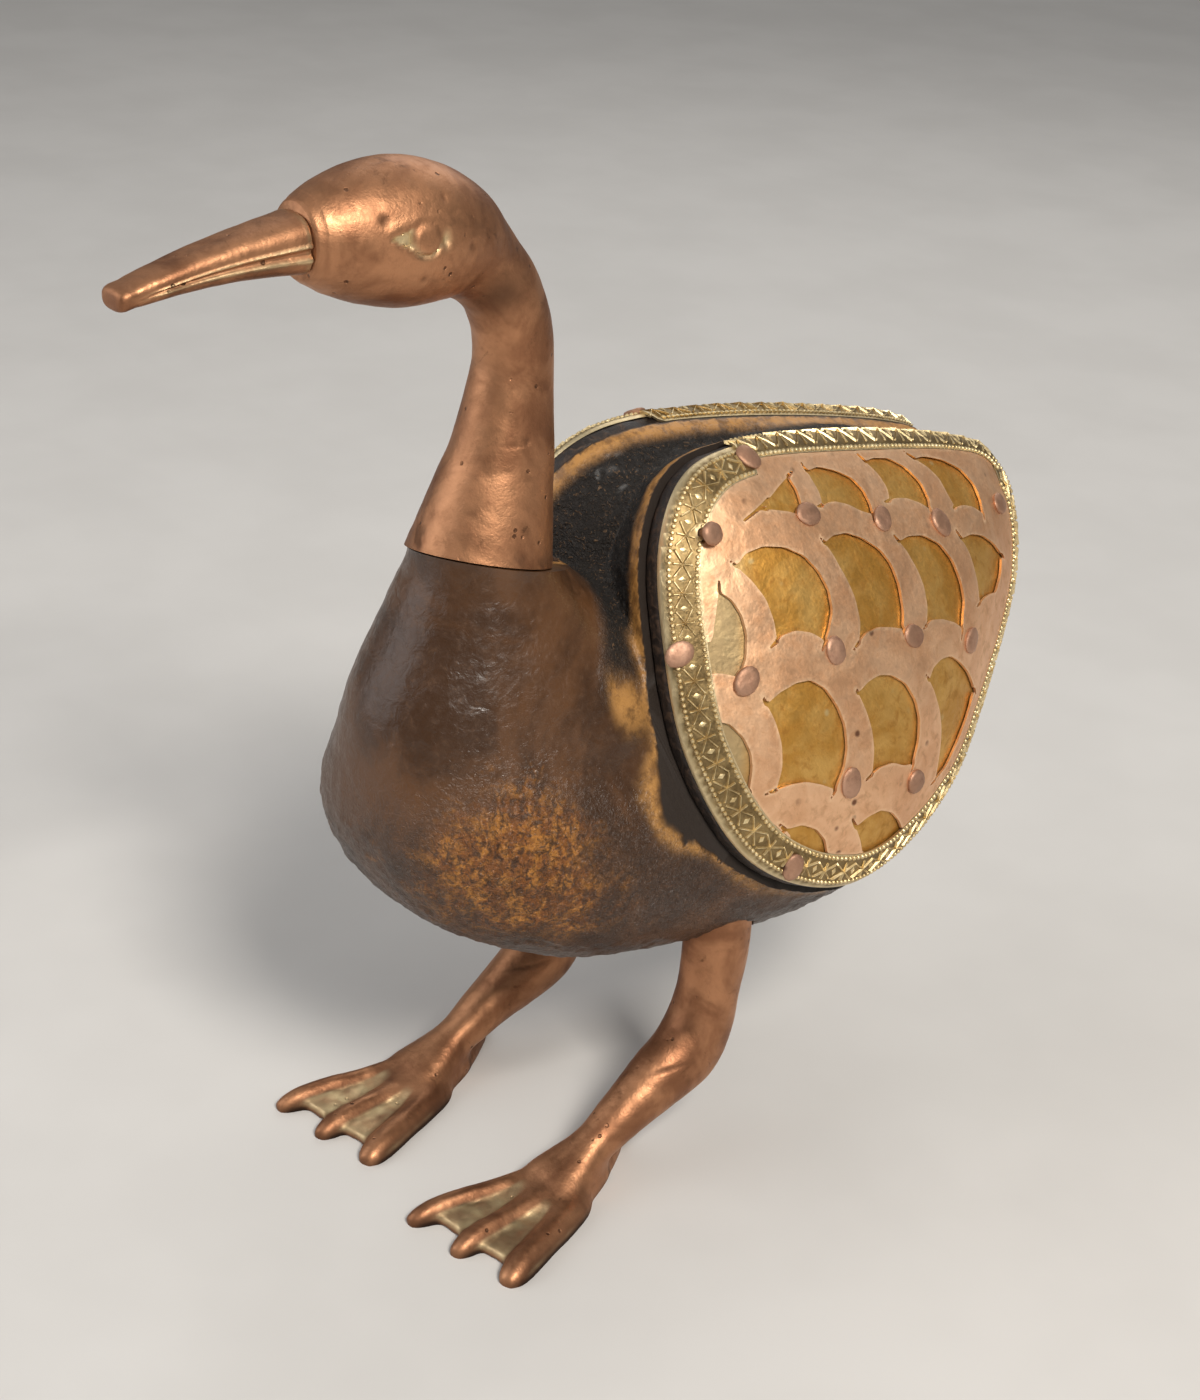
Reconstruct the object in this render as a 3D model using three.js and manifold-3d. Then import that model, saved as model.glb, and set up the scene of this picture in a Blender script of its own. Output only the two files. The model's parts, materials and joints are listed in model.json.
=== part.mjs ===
// Duck box: a carved wooden body with two swinging wing lids and cast copper head, beak and legs.
// Millimetres. The duck looks along -Y, its left side is +X and the floor is the plane Z = 0.
import * as THREE from 'three';
import { mergeVertices } from 'three/addons/utils/BufferGeometryUtils.js';
import Module from 'manifold-3d';

const wasm = await Module();
wasm.setup();

// Clearance between pieces that seat on each other
const seatGap = 0.3;

// Wooden body
const bodyBreastY = -64.8;
const bodyTailY = 96;
const bodyBreastZ = 86;
const bodyTailZ = 103;
const bodyKeelZ = 37.6;
const bodyBackZ = 134.5;
const bodyHalfWidth = 43;
const bodyWidestShare = 0.36;
const bellyPower = 2.25;
const shoulderPower = 1.6;
const shoulderRound = 1.5;

// Seam between the wooden neck stub and the neck casting: front edge higher than the rear
const seamY = -36.6;
const seamZ = 126.4;
const seamRadius = 13.2;
const seamTiltDeg = 17;
const seamRollDeg = 9;

// Head, beak and the socket between them
const headTopZ = 200;
const headFrontY = -74;
const headHalfWidthShare = 0.97;
const beakTipY = -106.6;
const beakTipZ = 185.6;
const beakRootHalfHeight = 5.2;
const beakRootHalfWidth = 5.7;
const beakTipHalfHeight = 1.8;
const beakTipHalfWidth = 3.3;
const beakSpigotLength = 7;
const beakSpigotRadius = 3.2;

// Cast dowel that holds the neck casting on the stub, thick below the seam as a counterweight
const dowelUpperRadius = 5.5;
const dowelUpperLength = 13;
const dowelLowerRadius = 11.8;
const dowelLowerLength = 64;
const dowelShoulderDrop = 7;

// Cast legs: both are the same casting, set at these distances to the duck's left
const leftLegX = 24.5;
const rightLegX = -20;
const thighTopY = 4.6;
const thighRadius = 6.6;
const thighSocketDepth = 13;
const hockY = -1;
const hockZ = 21.5;
const hockRadius = 7;
const ankleY = -25;
const ankleZ = 7.4;
const ankleRadius = 4.2;
// Toe tips from the ankle, as [to the duck's left, forward]
const toeTips = [[-8.8, -37.4], [2.9, -36.2], [15.2, -33.6]];
const toeHalfWidth = 3.1;
const toeHeight = 4.6;
const webThickness = 2.4;
// Tip of the low heel spur from the leg's mid-plane, as [to the duck's left, backward from the ankle]
const heelTip = [-7.5, 11.5];

// Flat seats of the wings: the left seat runs through this point and leans in at top and tail
const seatPointX = 20.2;
const seatPointY = 38;
const seatPointZ = 97;
const seatLeanDeg = 21.8;
const seatToeInDeg = 5.7;

// Wing lids: outline in the seat plane, with the straight edge on top
const wingTopSlopeDeg = 12;
const wingHalfLength = 52.8;
const wingTopV = 37.7;
const wingBottomV = -46.5;
const wingEdgeThickness = 3.2;
const wingDomeRise = 12;
const wingDomePower = 2.4;
const wingHollowInset = 11;
const wingShell = 4.6;
const sheetThickness = 0.4;
const latticeThickness = 0.6;
const borderWidth = 6.4;
const borderThickness = 0.7;
const topStripStartU = -29.5;
const topStripEndU = 42;

// Fish-scale openings of the copper lattice
const scalePitchU = 19.3;
const scalePitchV = 25.1;
const scaleRowShift = 1.8;
const scaleRadius = 12.5;
const scaleBand = 4.1;
const scaleFirstU = -31.9;
const scaleFirstV = 5.9;

// Nails and pivot pins
const nailHeadRadius = 1.9;
const nailHeadHeight = 0.9;
const nailShankRadius = 0.6;
const nailLength = 3.2;
const borderNails = [[-50.4, 1.4], [-25.3, -39.6], [-30.5, 33.8]];
const pivotU = -44.6;
const pivotV = 22.4;
const pivotRadius = 1.1;
const pivotLift = 1.5;
const pivotClearance = 0.1;
const pivotHeadRadius = 2.3;
const pivotDepth = 10;

// Compartments carved into the flat seats
const pocketFrontU = -36;
const pocketTailU = 39;
const pocketLowV = -34;
const pocketTopV = 18;
const pocketCorner = 16;
const pocketFloorX = 2.5;

// The right wing and its seat sit this far further forward
const rightWingForward = 4;

// Finishes
const wood = { color: 0x2e1c12, roughness: 0.45, metalness: 0.0 };
const copper = { color: 0x9a5a3c, roughness: 0.42, metalness: 0.9 };
const sheetCopper = { color: 0xc98a63, roughness: 0.45, metalness: 0.9 };
const brass = { color: 0xb98a2e, roughness: 0.45, metalness: 0.85 };
const gilding = { color: 0x8f7a45, roughness: 0.5, metalness: 0.85 };
const nailCopper = { color: 0x8a4a32, roughness: 0.45, metalness: 0.9 };

const degrees = Math.PI / 180;
const group = new THREE.Group();
const duck = new THREE.Group();
group.add(duck);

// Solids

function solidOf(geometry) {
  const bare = geometry.clone();
  for (const key of Object.keys(bare.attributes)) {
    if (key !== 'position') bare.deleteAttribute(key);
  }
  const merged = mergeVertices(bare, 1e-5);
  const mesh = new wasm.Mesh({
    numProp: 3,
    vertProperties: new Float32Array(merged.attributes.position.array),
    triVerts: new Uint32Array(merged.index.array),
  });
  return new wasm.Manifold(mesh);
}

function geometryOf(solid) {
  const mesh = solid.getMesh();
  const geometry = new THREE.BufferGeometry();
  geometry.setAttribute('position', new THREE.BufferAttribute(new Float32Array(mesh.vertProperties), 3));
  geometry.setIndex(new THREE.BufferAttribute(new Uint32Array(mesh.triVerts), 1));
  geometry.computeVertexNormals();
  return geometry;
}

function place(name, solid, finish) {
  const mesh = new THREE.Mesh(geometryOf(solid), new THREE.MeshStandardMaterial(finish));
  mesh.name = name;
  duck.add(mesh);
}

function flipped(geometry) {
  const index = geometry.index.array;
  const turned = [];
  for (let i = 0; i < index.length; i += 3) turned.push(index[i], index[i + 2], index[i + 1]);
  const copy = geometry.clone();
  copy.setIndex(turned);
  return copy;
}

function mirrored(solid) {
  const geometry = geometryOf(solid);
  geometry.scale(-1, 1, 1);
  return solidOf(flipped(geometry));
}

function solidFrom(positions, indices) {
  const geometry = new THREE.BufferGeometry();
  geometry.setAttribute('position', new THREE.Float32BufferAttribute(positions, 3));
  geometry.setIndex(indices);
  const solid = solidOf(geometry);
  return solid.volume() < 0 ? solidOf(flipped(geometry)) : solid;
}

function pushBand(indices, count, from, to) {
  for (let i = 0; i < count; i++) {
    const next = (i + 1) % count;
    const a = from * count + i;
    const b = from * count + next;
    indices.push(a, b, to * count + next, a, to * count + next, to * count + i);
  }
}

// A closed skin through rings of points that all have the same count, with a fan over each end
function loft(rings) {
  const count = rings[0].length;
  const positions = rings.flat().flatMap((point) => [point.x, point.y, point.z]);
  const indices = [];
  for (let r = 0; r < rings.length - 1; r++) pushBand(indices, count, r, r + 1);
  for (const r of [0, rings.length - 1]) {
    const centre = new THREE.Vector3();
    for (const point of rings[r]) centre.addScaledVector(point, 1 / count);
    const hub = positions.length / 3;
    positions.push(centre.x, centre.y, centre.z);
    for (let i = 0; i < count; i++) {
      const a = r * count + i;
      const b = r * count + (i + 1) % count;
      if (r === 0) indices.push(hub, b, a);
      else indices.push(hub, a, b);
    }
  }
  return solidFrom(positions, indices);
}

// A closed skin through rings of points whose last ring joins the first one
function hoop(rings) {
  const positions = rings.flat().flatMap((point) => [point.x, point.y, point.z]);
  const indices = [];
  for (let r = 0; r < rings.length; r++) pushBand(indices, rings[0].length, r, (r + 1) % rings.length);
  return solidFrom(positions, indices);
}

// Value on a smooth curve through [position, value] pairs
function along(pairs, position) {
  const last = pairs.length - 1;
  if (position <= pairs[0][0]) return pairs[0][1];
  if (position >= pairs[last][0]) return pairs[last][1];
  let k = 0;
  while (pairs[k + 1][0] < position) k++;
  const slope = (i) => {
    const a = Math.max(0, i - 1);
    const b = Math.min(last, i + 1);
    return (pairs[b][1] - pairs[a][1]) / (pairs[b][0] - pairs[a][0]);
  };
  const span = pairs[k + 1][0] - pairs[k][0];
  const s = (position - pairs[k][0]) / span;
  const h00 = (1 + 2 * s) * (1 - s) * (1 - s);
  const h10 = s * (1 - s) * (1 - s);
  const h01 = s * s * (3 - 2 * s);
  const h11 = s * s * (s - 1);
  return h00 * pairs[k][1] + h10 * span * slope(k) + h01 * pairs[k + 1][1] + h11 * span * slope(k + 1);
}

// Rings round a path: each station is [x, y, z, half size along X, half size across the path]
function tube(stations, steps, sides) {
  const points = stations.map(([x, y, z]) => new THREE.Vector3(x, y, z));
  const path = new THREE.CatmullRomCurve3(points, false, 'centripetal');
  const last = stations.length - 1;
  const widths = stations.map((station, i) => [i / last, station[3]]);
  const heights = stations.map((station, i) => [i / last, station[4]]);
  const rings = [];
  for (let k = 0; k <= steps; k++) {
    const t = k / steps;
    const centre = path.getPoint(t);
    const ahead = path.getTangent(t);
    const side = new THREE.Vector3(1, 0, 0).addScaledVector(ahead, -ahead.x).normalize();
    const up = new THREE.Vector3().crossVectors(side, ahead).normalize();
    const ring = [];
    for (let i = 0; i < sides; i++) {
      const angle = i / sides * 2 * Math.PI;
      ring.push(centre.clone()
        .addScaledVector(side, along(widths, t) * Math.cos(angle))
        .addScaledVector(up, along(heights, t) * Math.sin(angle)));
    }
    rings.push(ring);
  }
  return loft(rings);
}

function boxSolid(low, high) {
  const geometry = new THREE.BoxGeometry(high[0] - low[0], high[1] - low[1], high[2] - low[2]);
  geometry.translate((low[0] + high[0]) / 2, (low[1] + high[1]) / 2, (low[2] + high[2]) / 2);
  return solidOf(geometry);
}

// A round bar between two points
function bar(from, to, radius, sides) {
  const length = from.distanceTo(to);
  const geometry = new THREE.CylinderGeometry(radius, radius, length, sides);
  const turn = new THREE.Quaternion().setFromUnitVectors(
    new THREE.Vector3(0, 1, 0), to.clone().sub(from).normalize());
  geometry.applyQuaternion(turn);
  const middle = from.clone().add(to).multiplyScalar(0.5);
  geometry.translate(middle.x, middle.y, middle.z);
  return solidOf(geometry);
}

// Wing seat frame: u runs tailward along the wing's top edge, v up the seat, w outward

const lean = Math.tan(seatLeanDeg * degrees);
const toeIn = Math.tan(seatToeInDeg * degrees);
const seatW = new THREE.Vector3(1, toeIn, lean).normalize();
const levelU = new THREE.Vector3(-toeIn, 1, 0).normalize();
const levelV = new THREE.Vector3().crossVectors(seatW, levelU);
const slope = -wingTopSlopeDeg * degrees;
const seatU = levelU.clone().multiplyScalar(Math.cos(slope)).addScaledVector(levelV, Math.sin(slope));
const seatV = new THREE.Vector3().crossVectors(seatW, seatU);
const seatOrigin = new THREE.Vector3(seatPointX, seatPointY, seatPointZ);
const seatFrame = new THREE.Matrix4().makeBasis(seatU, seatV, seatW).setPosition(seatOrigin);

function onSeat(u, v, w) {
  return new THREE.Vector3(u, v, w).applyMatrix4(seatFrame);
}

// The wing's outline as distance from its hub at an angle: a shield with a straight top edge
const wingHub = new THREE.Vector2(-2, -2);
const outline = new THREE.CatmullRomCurve3([
  [-0.62, 1.0], [-0.86, 0.86], [-0.985, 0.55], [-1.0, 0.1], [-0.93, -0.38], [-0.65, -0.83], [-0.15, -1.0],
  [0.4, -0.72], [0.75, -0.2], [0.94, 0.3], [0.94, 0.72], [0.82, 0.92], [0.6, 1.0],
].map(([a, b]) => new THREE.Vector3(a * wingHalfLength, b > 0 ? b * wingTopV : -b * wingBottomV, 0)),
true, 'centripetal');
const outlinePoints = outline.getPoints(180).map((p) => new THREE.Vector2(p.x, p.y).sub(wingHub));

function wingRadius(angle) {
  const ray = new THREE.Vector2(Math.cos(angle), Math.sin(angle));
  let reach = 0;
  for (let i = 0; i < outlinePoints.length; i++) {
    const a = outlinePoints[i];
    const b = outlinePoints[(i + 1) % outlinePoints.length];
    const edge = new THREE.Vector2().subVectors(b, a);
    const cross = ray.x * edge.y - ray.y * edge.x;
    if (Math.abs(cross) < 1e-9) continue;
    const t = (a.x * edge.y - a.y * edge.x) / cross;
    const s = (a.x * ray.y - a.y * ray.x) / cross;
    if (t > 0 && s >= -1e-9 && s <= 1 + 1e-9) reach = Math.max(reach, t);
  }
  return reach;
}

const wingSides = 36;
const wingAngles = Array.from({ length: wingSides }, (_, i) => i / wingSides * 2 * Math.PI);
const wingRadii = wingAngles.map(wingRadius);

// Height of the wing's wooden dome over the seat at a share of the way from hub to edge
function domeHeight(share) {
  return wingEdgeThickness + wingDomeRise * (1 - Math.pow(share, wingDomePower));
}

function domeHeightAt(u, v) {
  const arm = new THREE.Vector2(u, v).sub(wingHub);
  return domeHeight(Math.min(1, arm.length() / wingRadius(arm.angle())));
}

// Ring of points on the dome: share from hub to edge, inset from the edge, lift over the wood
function domeRing(share, inset, lift) {
  return wingRadii.map((reach, i) => {
    const r = share * (reach - inset);
    const height = domeHeight(Math.min(1, r / reach)) + lift;
    return onSeat(wingHub.x + r * Math.cos(wingAngles[i]), wingHub.y + r * Math.sin(wingAngles[i]), height);
  });
}

// Dome skin between two lifts over the wood, from the hub out to an inset from the wing's edge
const domeShares = [0.3, 0.55, 0.76, 0.9, 1.0];
const domeSharesBack = [...domeShares].reverse();

function domeSkin(inset, lowLift, highLift) {
  const low = domeShares.map((share) => domeRing(share, inset, lowLift));
  const high = domeSharesBack.map((share) => domeRing(share, inset, highLift));
  return loft([...low, ...high]);
}

// Wing block: solid at the edge and scooped out behind the dome
function domeSolid() {
  const foot = domeRing(1, 0, seatGap - wingEdgeThickness);
  const block = loft([foot, ...domeSharesBack.map((share) => domeRing(share, 0, 0))]);
  const mouth = domeRing(1, wingHollowInset, -12);
  const roof = [1, 0.75, 0.4].map((share) => domeRing(share, wingHollowInset, -wingShell));
  const hollow = loft([mouth, ...roof]);
  return block.subtract(hollow);
}

// Strip along the wing's edge, between the edge and its inset
function edgeStrip(inset, lowLift, highLift) {
  const insets = [inset, inset * 0.5, 0];
  const low = insets.map((back) => domeRing(1, back, lowLift));
  const high = [...insets].reverse().map((back) => domeRing(1, back, highLift));
  return hoop([...low, ...high]);
}

// Block square to the seat over a rectangle of the seat plane
function seatBlock(lowU, highU, lowV, highV, lowW, highW) {
  const geometry = new THREE.BoxGeometry(highU - lowU, highV - lowV, highW - lowW);
  geometry.translate((lowU + highU) / 2, (lowV + highV) / 2, (lowW + highW) / 2);
  geometry.applyMatrix4(seatFrame);
  return solidOf(geometry);
}

function seatDisc(u, v, radius, lowW, highW, sides) {
  return bar(onSeat(u, v, lowW), onSeat(u, v, highW), radius, sides);
}

// Direction square to the dome at a point of the seat plane
function domeNormal(u, v) {
  const step = 0.5;
  const riseU = (domeHeightAt(u + step, v) - domeHeightAt(u - step, v)) / (2 * step);
  const riseV = (domeHeightAt(u, v + step) - domeHeightAt(u, v - step)) / (2 * step);
  return new THREE.Vector3(-riseU, -riseV, 1).transformDirection(seatFrame);
}

// The right side's copy of a piece of the left wing, slid forward along the seat
function rightSide(solid) {
  const slide = seatU.clone().multiplyScalar(-rightWingForward);
  return mirrored(solid.translate([slide.x, slide.y, slide.z]));
}

function insetAt(u, v) {
  const arm = new THREE.Vector2(u, v).sub(wingHub);
  return wingRadius(arm.angle()) - arm.length();
}

// Body

const bodyLength = bodyTailY - bodyBreastY;
// Rails as [share of the length, share of the way from mid level to the back or the keel]
const backRail = [[0, 0], [0.006, 0.14], [0.028, 0.26], [0.074, 0.375], [0.148, 0.43], [0.235, 0.46],
  [0.296, 0.56], [0.355, 0.69], [0.426, 0.9], [0.488, 0.985], [0.562, 1], [0.642, 0.99], [0.765, 0.873],
  [0.889, 0.626], [0.963, 0.33], [1, 0]];
const keelRail = [[0, 0], [0.006, 0.167], [0.028, 0.358], [0.068, 0.528], [0.13, 0.686], [0.235, 0.859],
  [0.377, 0.974], [0.52, 1], [0.667, 0.9], [0.79, 0.71], [0.9, 0.444], [0.97, 0.22], [1, 0]];
// Half width as [share of the length, share of the widest]
const flankShares = [[0, 0], [0.012, 0.284], [0.031, 0.417], [0.062, 0.547], [0.099, 0.645], [0.142, 0.715],
  [0.204, 0.77], [0.284, 0.795], [0.333, 0.8], [0.389, 0.83], [0.444, 0.88], [0.5, 0.93], [0.56, 0.985],
  [0.62, 1], [0.69, 0.96], [0.78, 0.82], [0.87, 0.6], [0.95, 0.33], [1, 0]];

function railPoint(rail, endZ, t) {
  const path = new THREE.CatmullRomCurve3(
    rail.map(([a, b]) => new THREE.Vector3(a, b, 0)), false, 'centripetal');
  const p = path.getPoint(t);
  const share = Math.min(1, Math.max(0, p.x));
  const level = bodyBreastZ + (bodyTailZ - bodyBreastZ) * share;
  return new THREE.Vector2(bodyBreastY + bodyLength * share, level + (endZ - level) * p.y);
}

function eggSolid() {
  const stations = 26;
  const sides = 28;
  const rings = [];
  for (let k = 1; k < stations; k++) {
    const t = (1 - Math.cos(k / stations * Math.PI)) / 2;
    const back = railPoint(backRail, bodyBackZ, t);
    const keel = railPoint(keelRail, bodyKeelZ, t);
    const ring = [];
    for (let i = 0; i < sides; i++) {
      const angle = (i + 0.5) / sides * 2 * Math.PI;
      const rise = Math.sin(angle);
      const below = Math.pow(1 - Math.pow(Math.abs(rise), bellyPower), 1 / bellyPower);
      const above = Math.pow(1 - Math.pow(Math.abs(rise), shoulderPower), 1 / shoulderRound);
      const s = bodyWidestShare + (rise > 0 ? 1 - bodyWidestShare : bodyWidestShare) * rise;
      const y = keel.x + (back.x - keel.x) * s;
      const z = keel.y + (back.y - keel.y) * s;
      const width = bodyHalfWidth * along(flankShares, (y - bodyBreastY) / bodyLength);
      ring.push(new THREE.Vector3(Math.sign(Math.cos(angle)) * (rise > 0 ? above : below) * width, y, z));
    }
    rings.push(ring);
  }
  return loft(rings);
}

// Raised flank of the body behind a wing: the wing's outline with a rim, as [depth, inset]
const flankRings = [[2, -1.3], [-1.5, -1.3], [-4, -0.2], [-14, 3], [-24, 12]];

function flankSolid() {
  return loft(flankRings.map(([w, inset]) => wingRadii.map((reach, i) => onSeat(
    wingHub.x + (reach - inset) * Math.cos(wingAngles[i]),
    wingHub.y + (reach - inset) * Math.sin(wingAngles[i]), w))));
}

function levelRing(y, z, halfX, halfY, sides) {
  const ring = [];
  for (let i = 0; i < sides; i++) {
    const angle = i / sides * 2 * Math.PI;
    ring.push(new THREE.Vector3(halfX * Math.cos(angle), y + halfY * Math.sin(angle), z));
  }
  return ring;
}

// Wooden neck stub: oval rings that flare down into the breast, as [drop, setback, half X, half Y]
const stubFlare = [[-9, 0, 1, 1], [0, 0.3, 1.03, 1.03], [6, 1.6, 1.2, 1.32], [13, 4.2, 1.46, 1.8],
  [22, 8.4, 1.76, 2.54], [32, 13, 1.97, 3.05], [40, 15, 2.0, 3.13],
  [52, 17, 1.85, 2.75]];

function stubSolid() {
  return loft(stubFlare.map(([drop, back, a, b]) => levelRing(
    seamY + back, seamZ - drop, seamRadius * a, seamRadius * b, 28)));
}

// Frame of the seam: its upward direction and the half space over or under it near the neck
const seamAxis = new THREE.Vector3(
  -Math.tan(seamRollDeg * degrees), Math.tan(seamTiltDeg * degrees), 1).normalize();

function dowelSolid(slack, extraTop) {
  const foot = new THREE.Vector3(0, seamY, seamZ - dowelLowerLength - slack);
  const shoulder = new THREE.Vector3(0, seamY, seamZ - dowelShoulderDrop + slack);
  const top = new THREE.Vector3(0, seamY, seamZ + dowelUpperLength + slack + extraTop);
  return bar(foot, shoulder, dowelLowerRadius + slack, 16).add(bar(foot, top, dowelUpperRadius + slack, 16));
}

function seamPoint(height) {
  return new THREE.Vector3(0, seamY, seamZ).addScaledVector(seamAxis, height);
}

// Neck and head in one casting, from the seam to the flat face round the beak
const headCentreZ = headTopZ - 12.1;
const casting = [
  [-38, seamZ - 9, 15.6], [-36.6, seamZ + 2, 13.1], [-35.1, seamZ + 6.6, 12.0], [-33.8, seamZ + 12, 10.8],
  [-32.5, seamZ + 17, 9.7], [-31.5, seamZ + 23.5, 8.6], [-30.7, seamZ + 29.6, 7.7], [-30.2, seamZ + 35, 7.1],
  [-30.4, seamZ + 39.4, 7.0], [-31.1, headCentreZ - 18.6, 6.9], [-33.6, headCentreZ - 12.8, 6.9],
  [-36.6, headCentreZ - 9.2, 7.2], [-40.1, headCentreZ - 6, 8.3], [-43.4, headCentreZ - 3.7, 9.8],
  [-48.9, headCentreZ - 1.4, 11.4], [-55.6, headCentreZ, 12.1], [-63, headCentreZ + 0.9, 11.0],
  [-69.2, headCentreZ + 1.4, 9.0], [headFrontY, headCentreZ + 1.7, 6.6],
];

function castingSolid() {
  const stations = casting.map(([y, z, r]) => [0, y, z, r * headHalfWidthShare, r]);
  const skin = tube(stations, 30, 22);
  const beakSocket = bar(new THREE.Vector3(0, headFrontY - 3, beakRootZ),
    new THREE.Vector3(0, headFrontY + beakSpigotLength + seatGap, beakRootZ), beakSpigotRadius + seatGap, 12);
  const faceTrim = boxSolid([-20, headFrontY - 12, headTopZ - 40], [20, headFrontY, headTopZ + 10]);
  return skin
    .subtract(bar(seamPoint(seatGap / 2), seamPoint(-40), seamRadius * 3, 24))
    .subtract(dowelSolid(seatGap, 0))
    .subtract(faceTrim)
    .subtract(beakSocket);
}

const beakRootZ = headCentreZ + 1.4;

function beakSolid() {
  const sides = 20;
  const startY = headFrontY - seatGap;
  const rings = [];
  for (const share of [0, 0.12, 0.3, 0.5, 0.7, 0.88, 0.97, 1]) {
    const square = share > 0.98 ? 0.78 : 1;
    const halfHeight = beakRootHalfHeight + (beakTipHalfHeight - beakRootHalfHeight) * Math.pow(share, 0.8);
    const halfWidth = beakRootHalfWidth + (beakTipHalfWidth - beakRootHalfWidth) * Math.pow(share, 0.9);
    const arch = 0.9 * Math.sin(share * Math.PI);
    const ring = [];
    for (let i = 0; i < sides; i++) {
      const angle = i / sides * 2 * Math.PI;
      // A groove along each side is the line of the mouth
      const mouth = 1 - 0.16 * Math.exp(-Math.pow(Math.sin(angle) / 0.3, 2)) * (1 - share * 0.4);
      ring.push(new THREE.Vector3(
        halfWidth * Math.cos(angle) * mouth * square,
        startY + (beakTipY - startY) * share,
        beakRootZ + (beakTipZ - beakRootZ) * share + arch + halfHeight * Math.sin(angle) * square));
    }
    rings.push(ring);
  }
  const root = new THREE.Vector3(0, headFrontY - 3, beakRootZ);
  const inner = new THREE.Vector3(0, headFrontY + beakSpigotLength, beakRootZ);
  return loft(rings).add(bar(root, inner, beakSpigotRadius, 12));
}

// Leg casting: thigh, hock, shin, ankle and a foot of three toes joined by webs

const thighEndZ = bodyKeelZ + 5 + thighSocketDepth;

function legSolid() {
  const shank = tube([
    [0, thighTopY, thighEndZ, thighRadius, thighRadius],
    [0, thighTopY, bodyKeelZ + 5, thighRadius, thighRadius],
    [0, thighTopY - 1.2, bodyKeelZ - 4, thighRadius * 0.94, thighRadius * 0.94],
    [0, hockY + 2.8, hockZ + 4.5, hockRadius * 0.92, hockRadius * 0.96],
    [0, hockY - 0.8, hockZ - 1.6, hockRadius * 0.92, hockRadius * 1.08],
    [0, (hockY * 2 + ankleY) / 3, (hockZ * 2 + ankleZ) / 3 - 0.9, hockRadius * 0.86, hockRadius * 0.92],
    [0, (hockY + ankleY * 2) / 3, (hockZ + ankleZ * 2) / 3 - 0.3, ankleRadius * 1.2, ankleRadius * 1.18],
    [0, ankleY, ankleZ, ankleRadius * 1.06, ankleRadius],
    [0, ankleY - 6, ankleZ - 2.4, ankleRadius * 1.45, ankleRadius * 0.82],
    [0, ankleY - 12, ankleZ - 3.8, ankleRadius * 1.7, ankleRadius * 0.6],
  ], 16, 12);
  let leg = shank.subtract(boxSolid([-20, -20, thighEndZ - 0.01], [20, 40, thighEndZ + 20]));
  for (const [tipX, tipY] of toeTips) {
    const toe = [];
    for (const [share, width, height] of [[0, 1.0, 1.3], [0.3, 1.0, 1.15], [0.6, 1.0, 1.0], [0.88, 1.05, 0.95],
      [0.96, 0.86, 0.78], [1, 0.42, 0.42]]) {
      const x = tipX * (0.28 + 0.72 * share);
      toe.push([x, ankleY - 1 + (tipY + 1) * share, 0.6, toeHalfWidth * width, (toeHeight - 0.6) * height]);
    }
    leg = leg.add(tube(toe, 8, 8));
  }
  const [inner, middle, outer] = toeTips.map(([x, y]) => new THREE.Vector2(x, y).multiplyScalar(0.9));
  const web = new THREE.Shape();
  web.moveTo(0, 4);
  web.lineTo(inner.x, inner.y);
  web.quadraticCurveTo((inner.x + middle.x) * 0.49, (inner.y + middle.y) * 0.475, middle.x, middle.y);
  web.quadraticCurveTo((outer.x + middle.x) * 0.49, (outer.y + middle.y) * 0.475, outer.x, outer.y);
  web.closePath();
  const plate = new THREE.ExtrudeGeometry(web, { depth: webThickness, bevelEnabled: false, curveSegments: 4 });
  plate.translate(0, ankleY, 0);
  leg = leg.add(solidOf(plate));
  const [heelX, heelBack] = heelTip;
  leg = leg.add(tube([
    [heelX, ankleY + heelBack, 0.4, ankleRadius * 0.62, 1.3],
    [heelX * 0.8, ankleY + heelBack - 2.4, 0.6, ankleRadius * 0.82, 2.2],
    [0, ankleY - 3, 1.6, ankleRadius * 1.2, 3.4],
    [0, ankleY - 12, 1.6, ankleRadius * 1.6, 3.2],
  ], 6, 10));
  return leg.subtract(boxSolid([-60, -150, -30], [60, 100, 0]));
}

// Wing pieces, all on the left side

const nailSpots = [];
for (let row = -1; row < 4; row++) {
  for (let column = -3; column < 6; column++) {
    const u = scaleFirstU + 10.7 + column * scalePitchU + row * scaleRowShift;
    const v = scaleFirstV + 17.6 - row * scalePitchV;
    const isPivot = Math.hypot(u - pivotU, v - pivotV) < 4;
    if (!isPivot && insetAt(u, v) > borderWidth + 3.2) nailSpots.push({ u, v, under: latticeThickness });
  }
}
for (const [u, v] of borderNails) {
  nailSpots.push({ u, v, under: borderThickness });
}

const sheetTop = seatGap + sheetThickness;
const latticeBase = sheetTop + seatGap;

function nailFoot({ u, v, under }, lift) {
  const normal = domeNormal(u, v);
  return onSeat(u, v, domeHeightAt(u, v)).addScaledVector(normal, latticeBase + under + seatGap + lift);
}

const nailSides = 6;

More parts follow.
